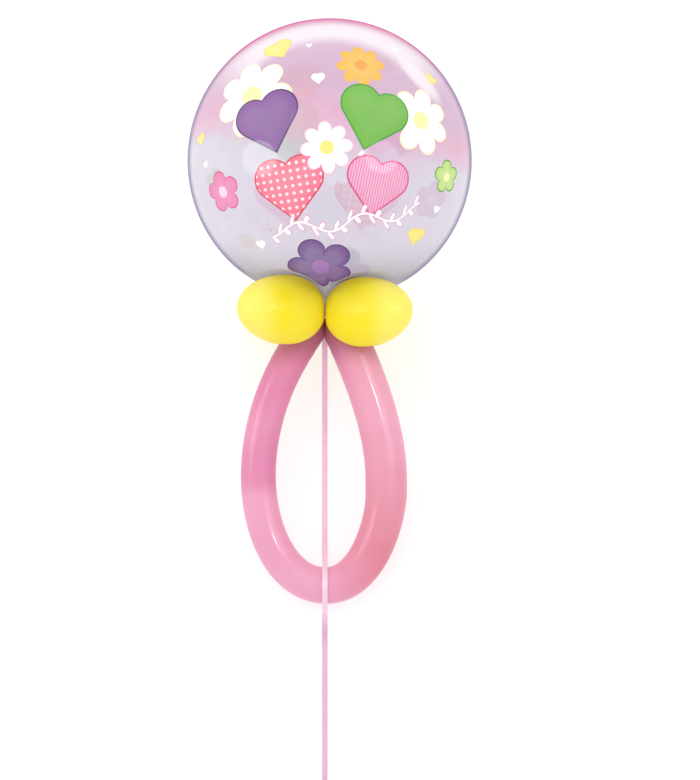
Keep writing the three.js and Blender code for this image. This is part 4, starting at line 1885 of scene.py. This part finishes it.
    def _map_ribs(
        self,
        piece: bpy.types.Object,
        section: list[Pair],
        sides: int,
        count: int,
    ) -> None:
        """Gives the strip a map across and along it.

        Args:
            piece: The strip.
            section: The corners of its section, across it and as a share of its half thickness.
            sides: How many corners that is.
            count: How many rings the strip has.
        """
        mesh = piece.data
        layer = mesh.uv_layers.new(name="ribbon")
        for loop in mesh.loops:
            ring, corner = divmod(loop.vertex_index, sides)
            across = section[corner][0] / self.width + 0.5 if ring < count else 0.5
            layer.data[loop.index].uv = (across, ring * self.step)


@dataclass
class RibbonTie:
    """The wraps of the ribbon round the gathered neck of the bubble."""

    upright: Upright
    wrap: bpy.types.NodeTree
    material: bpy.types.Material
    radius: float = 0.0078
    height: float = 0.006
    bottom: float = -0.0127
    turns: float = 3.0
    climb: float = 0.0008
    wrap_share: float = 0.8
    thickness: float = 0.0005

    def build(self) -> None:
        """Winds the wraps where the neck is tied."""
        seed = make_object("ribbon_tie_wraps", np.zeros((1, 3)), [], self.material)
        place = self.upright.matrix() @ Vector((0.0, self.bottom + self.height / 2, 0.0))
        axis = self.upright.matrix().to_3x3() @ Vector((0.0, 1.0, 0.0))
        turn = Vector((0, 0, 1)).rotation_difference(axis).to_euler()
        bake_tree(
            seed,
            self.wrap,
            Material=self.material,
            Place=tuple(place),
            Turn=tuple(turn),
            Radius=self.radius,
            Turns=self.turns,
            Height=self.climb,
            Width=self.height * self.wrap_share,
            Thickness=self.thickness,
        )
        finish_piece(seed, Slot.RIBBON, "ribbon_tie")


@dataclass(frozen=True)
class Lamp:
    """One soft light, placed in the arrangement's upright frame."""

    name: str
    place: Point
    target: Point
    size: Pair
    power: float
    roll: float = 0.0
    shine_only: bool = False

    def hang(self, upright: Upright) -> None:
        """Hangs the lamp, pointed at its target.

        Args:
            upright: The upright frame.
        """
        data = bpy.data.lights.new(self.name, "AREA")
        data.shape = "ELLIPSE"
        data.size, data.size_y = self.size
        data.energy = self.power
        made = bpy.data.objects.new(self.name, data)
        aim = (Vector(self.target) - Vector(self.place)).to_track_quat("-Z", "Y").to_matrix().to_4x4()
        turn = Matrix.Rotation(math.radians(self.roll), 4, "Z")
        made.matrix_world = upright.matrix() @ Matrix.Translation(self.place) @ aim @ turn
        made.visible_camera = False
        made.visible_diffuse = not self.shine_only
        bpy.context.scene.collection.objects.link(made)


LAMPS = (
    Lamp("key", (-0.7, 1.5, 2.6), (0.0, 0.0, 0.0), (1.8, 1.8), 15.0),
    Lamp("left sheen", (-2.4, 0.3, 1.6), (-0.12, 0.0, 0.1), (1.2, 1.6), 44.0, shine_only=True),
    Lamp("right sheen", (1.9, 0.3, 2.2), (0.12, 0.0, 0.1), (1.2, 1.4), 28.0, shine_only=True),
    Lamp("streak", (2.6, 0.60, 5.6), (0.0, -0.28, 0.04), (0.06, 0.40), 110.0, 18.0, shine_only=True),
)


@dataclass
class Studio:
    """The pale floor, the soft lights and the camera."""

    upright: Upright
    distance: float = 8.0
    scale: float = 0.001971
    sensor: float = 36.0
    frame_width: int = 700
    frame_height: int = 780
    axis_column: float = 324.8
    collar_row: float = 310.5
    far_clip: float = 100.0
    floor_half: float = 30.0
    floor_height: float = -0.0004
    floor_color: Color = (0.45, 0.45, 0.45, 1)
    floor_glow: float = 0.62

    def place_camera(self) -> None:
        """Puts the camera square to the arrangement's front, with the photograph's framing."""
        data = bpy.data.cameras.new("camera")
        data.sensor_width = self.sensor
        data.lens = self.sensor * self.distance / (self.frame_height * self.scale)
        data.shift_x = (self.frame_width / 2 - self.axis_column) / self.frame_height
        data.clip_end = self.far_clip
        camera = bpy.data.objects.new("camera", data)
        height = -(self.frame_height / 2 - self.collar_row) * self.scale
        camera.matrix_world = self.upright.matrix() @ Matrix.Translation((0.0, height, self.distance))
        bpy.context.scene.collection.objects.link(camera)
        bpy.context.scene.camera = camera

    def build_floor(self) -> None:
        """Lays the floor that the arrangement rests on."""
        material, _, shader = new_material("pale floor")
        set_plain(
            shader,
            Base_Color=self.floor_color,
            Emission_Color=(1.0, 1.0, 1.0, 1),
            Emission_Strength=self.floor_glow,
            Roughness=0.9,
            Specular_IOR_Level=0.1,
        )
        half, low = self.floor_half, self.floor_height
        corners = np.array([[-half, -half, low], [half, -half, low], [half, half, low], [-half, half, low]])
        floor = make_object("floor", corners, [(0, 1, 2, 3)], material, smooth=False)

    def light(self) -> None:
        """Hangs the soft lights and sets the white surround."""
        world = bpy.data.worlds.new("white surround")
        world.use_nodes = True
        world.node_tree.nodes["Background"].inputs[0].default_value = (1.0, 1.0, 1.0, 1)
        world.node_tree.nodes["Background"].inputs[1].default_value = 1.0
        bpy.context.scene.world = world
        bpy.context.scene.view_settings.view_transform = "Standard"
        for lamp in LAMPS:
            lamp.hang(self.upright)


def main() -> None:
    """Builds the camera, the ribbon, the balloons and the studio."""
    logging.basicConfig(level=logging.INFO, format="%(message)s")
    upright = Upright()
    studio = Studio(upright)
    studio.place_camera()
    ribbon = RibbonFinish().build()
    Ribbon(ribbon).build()
    effects = Effects()
    gather = gather_tree()
    BubbleBalloon(upright, effects, gather).build()
    Collar(upright, gather, CollarLatex().build(effects)).build()
    LoopBalloon(upright, LoopLatex().build(effects)).build()
    RibbonTie(upright, wrap_tree(), ribbon).build()
    studio.build_floor()
    studio.light()
    LOG.info("sizes written")


if __name__ == "__main__":
    main()
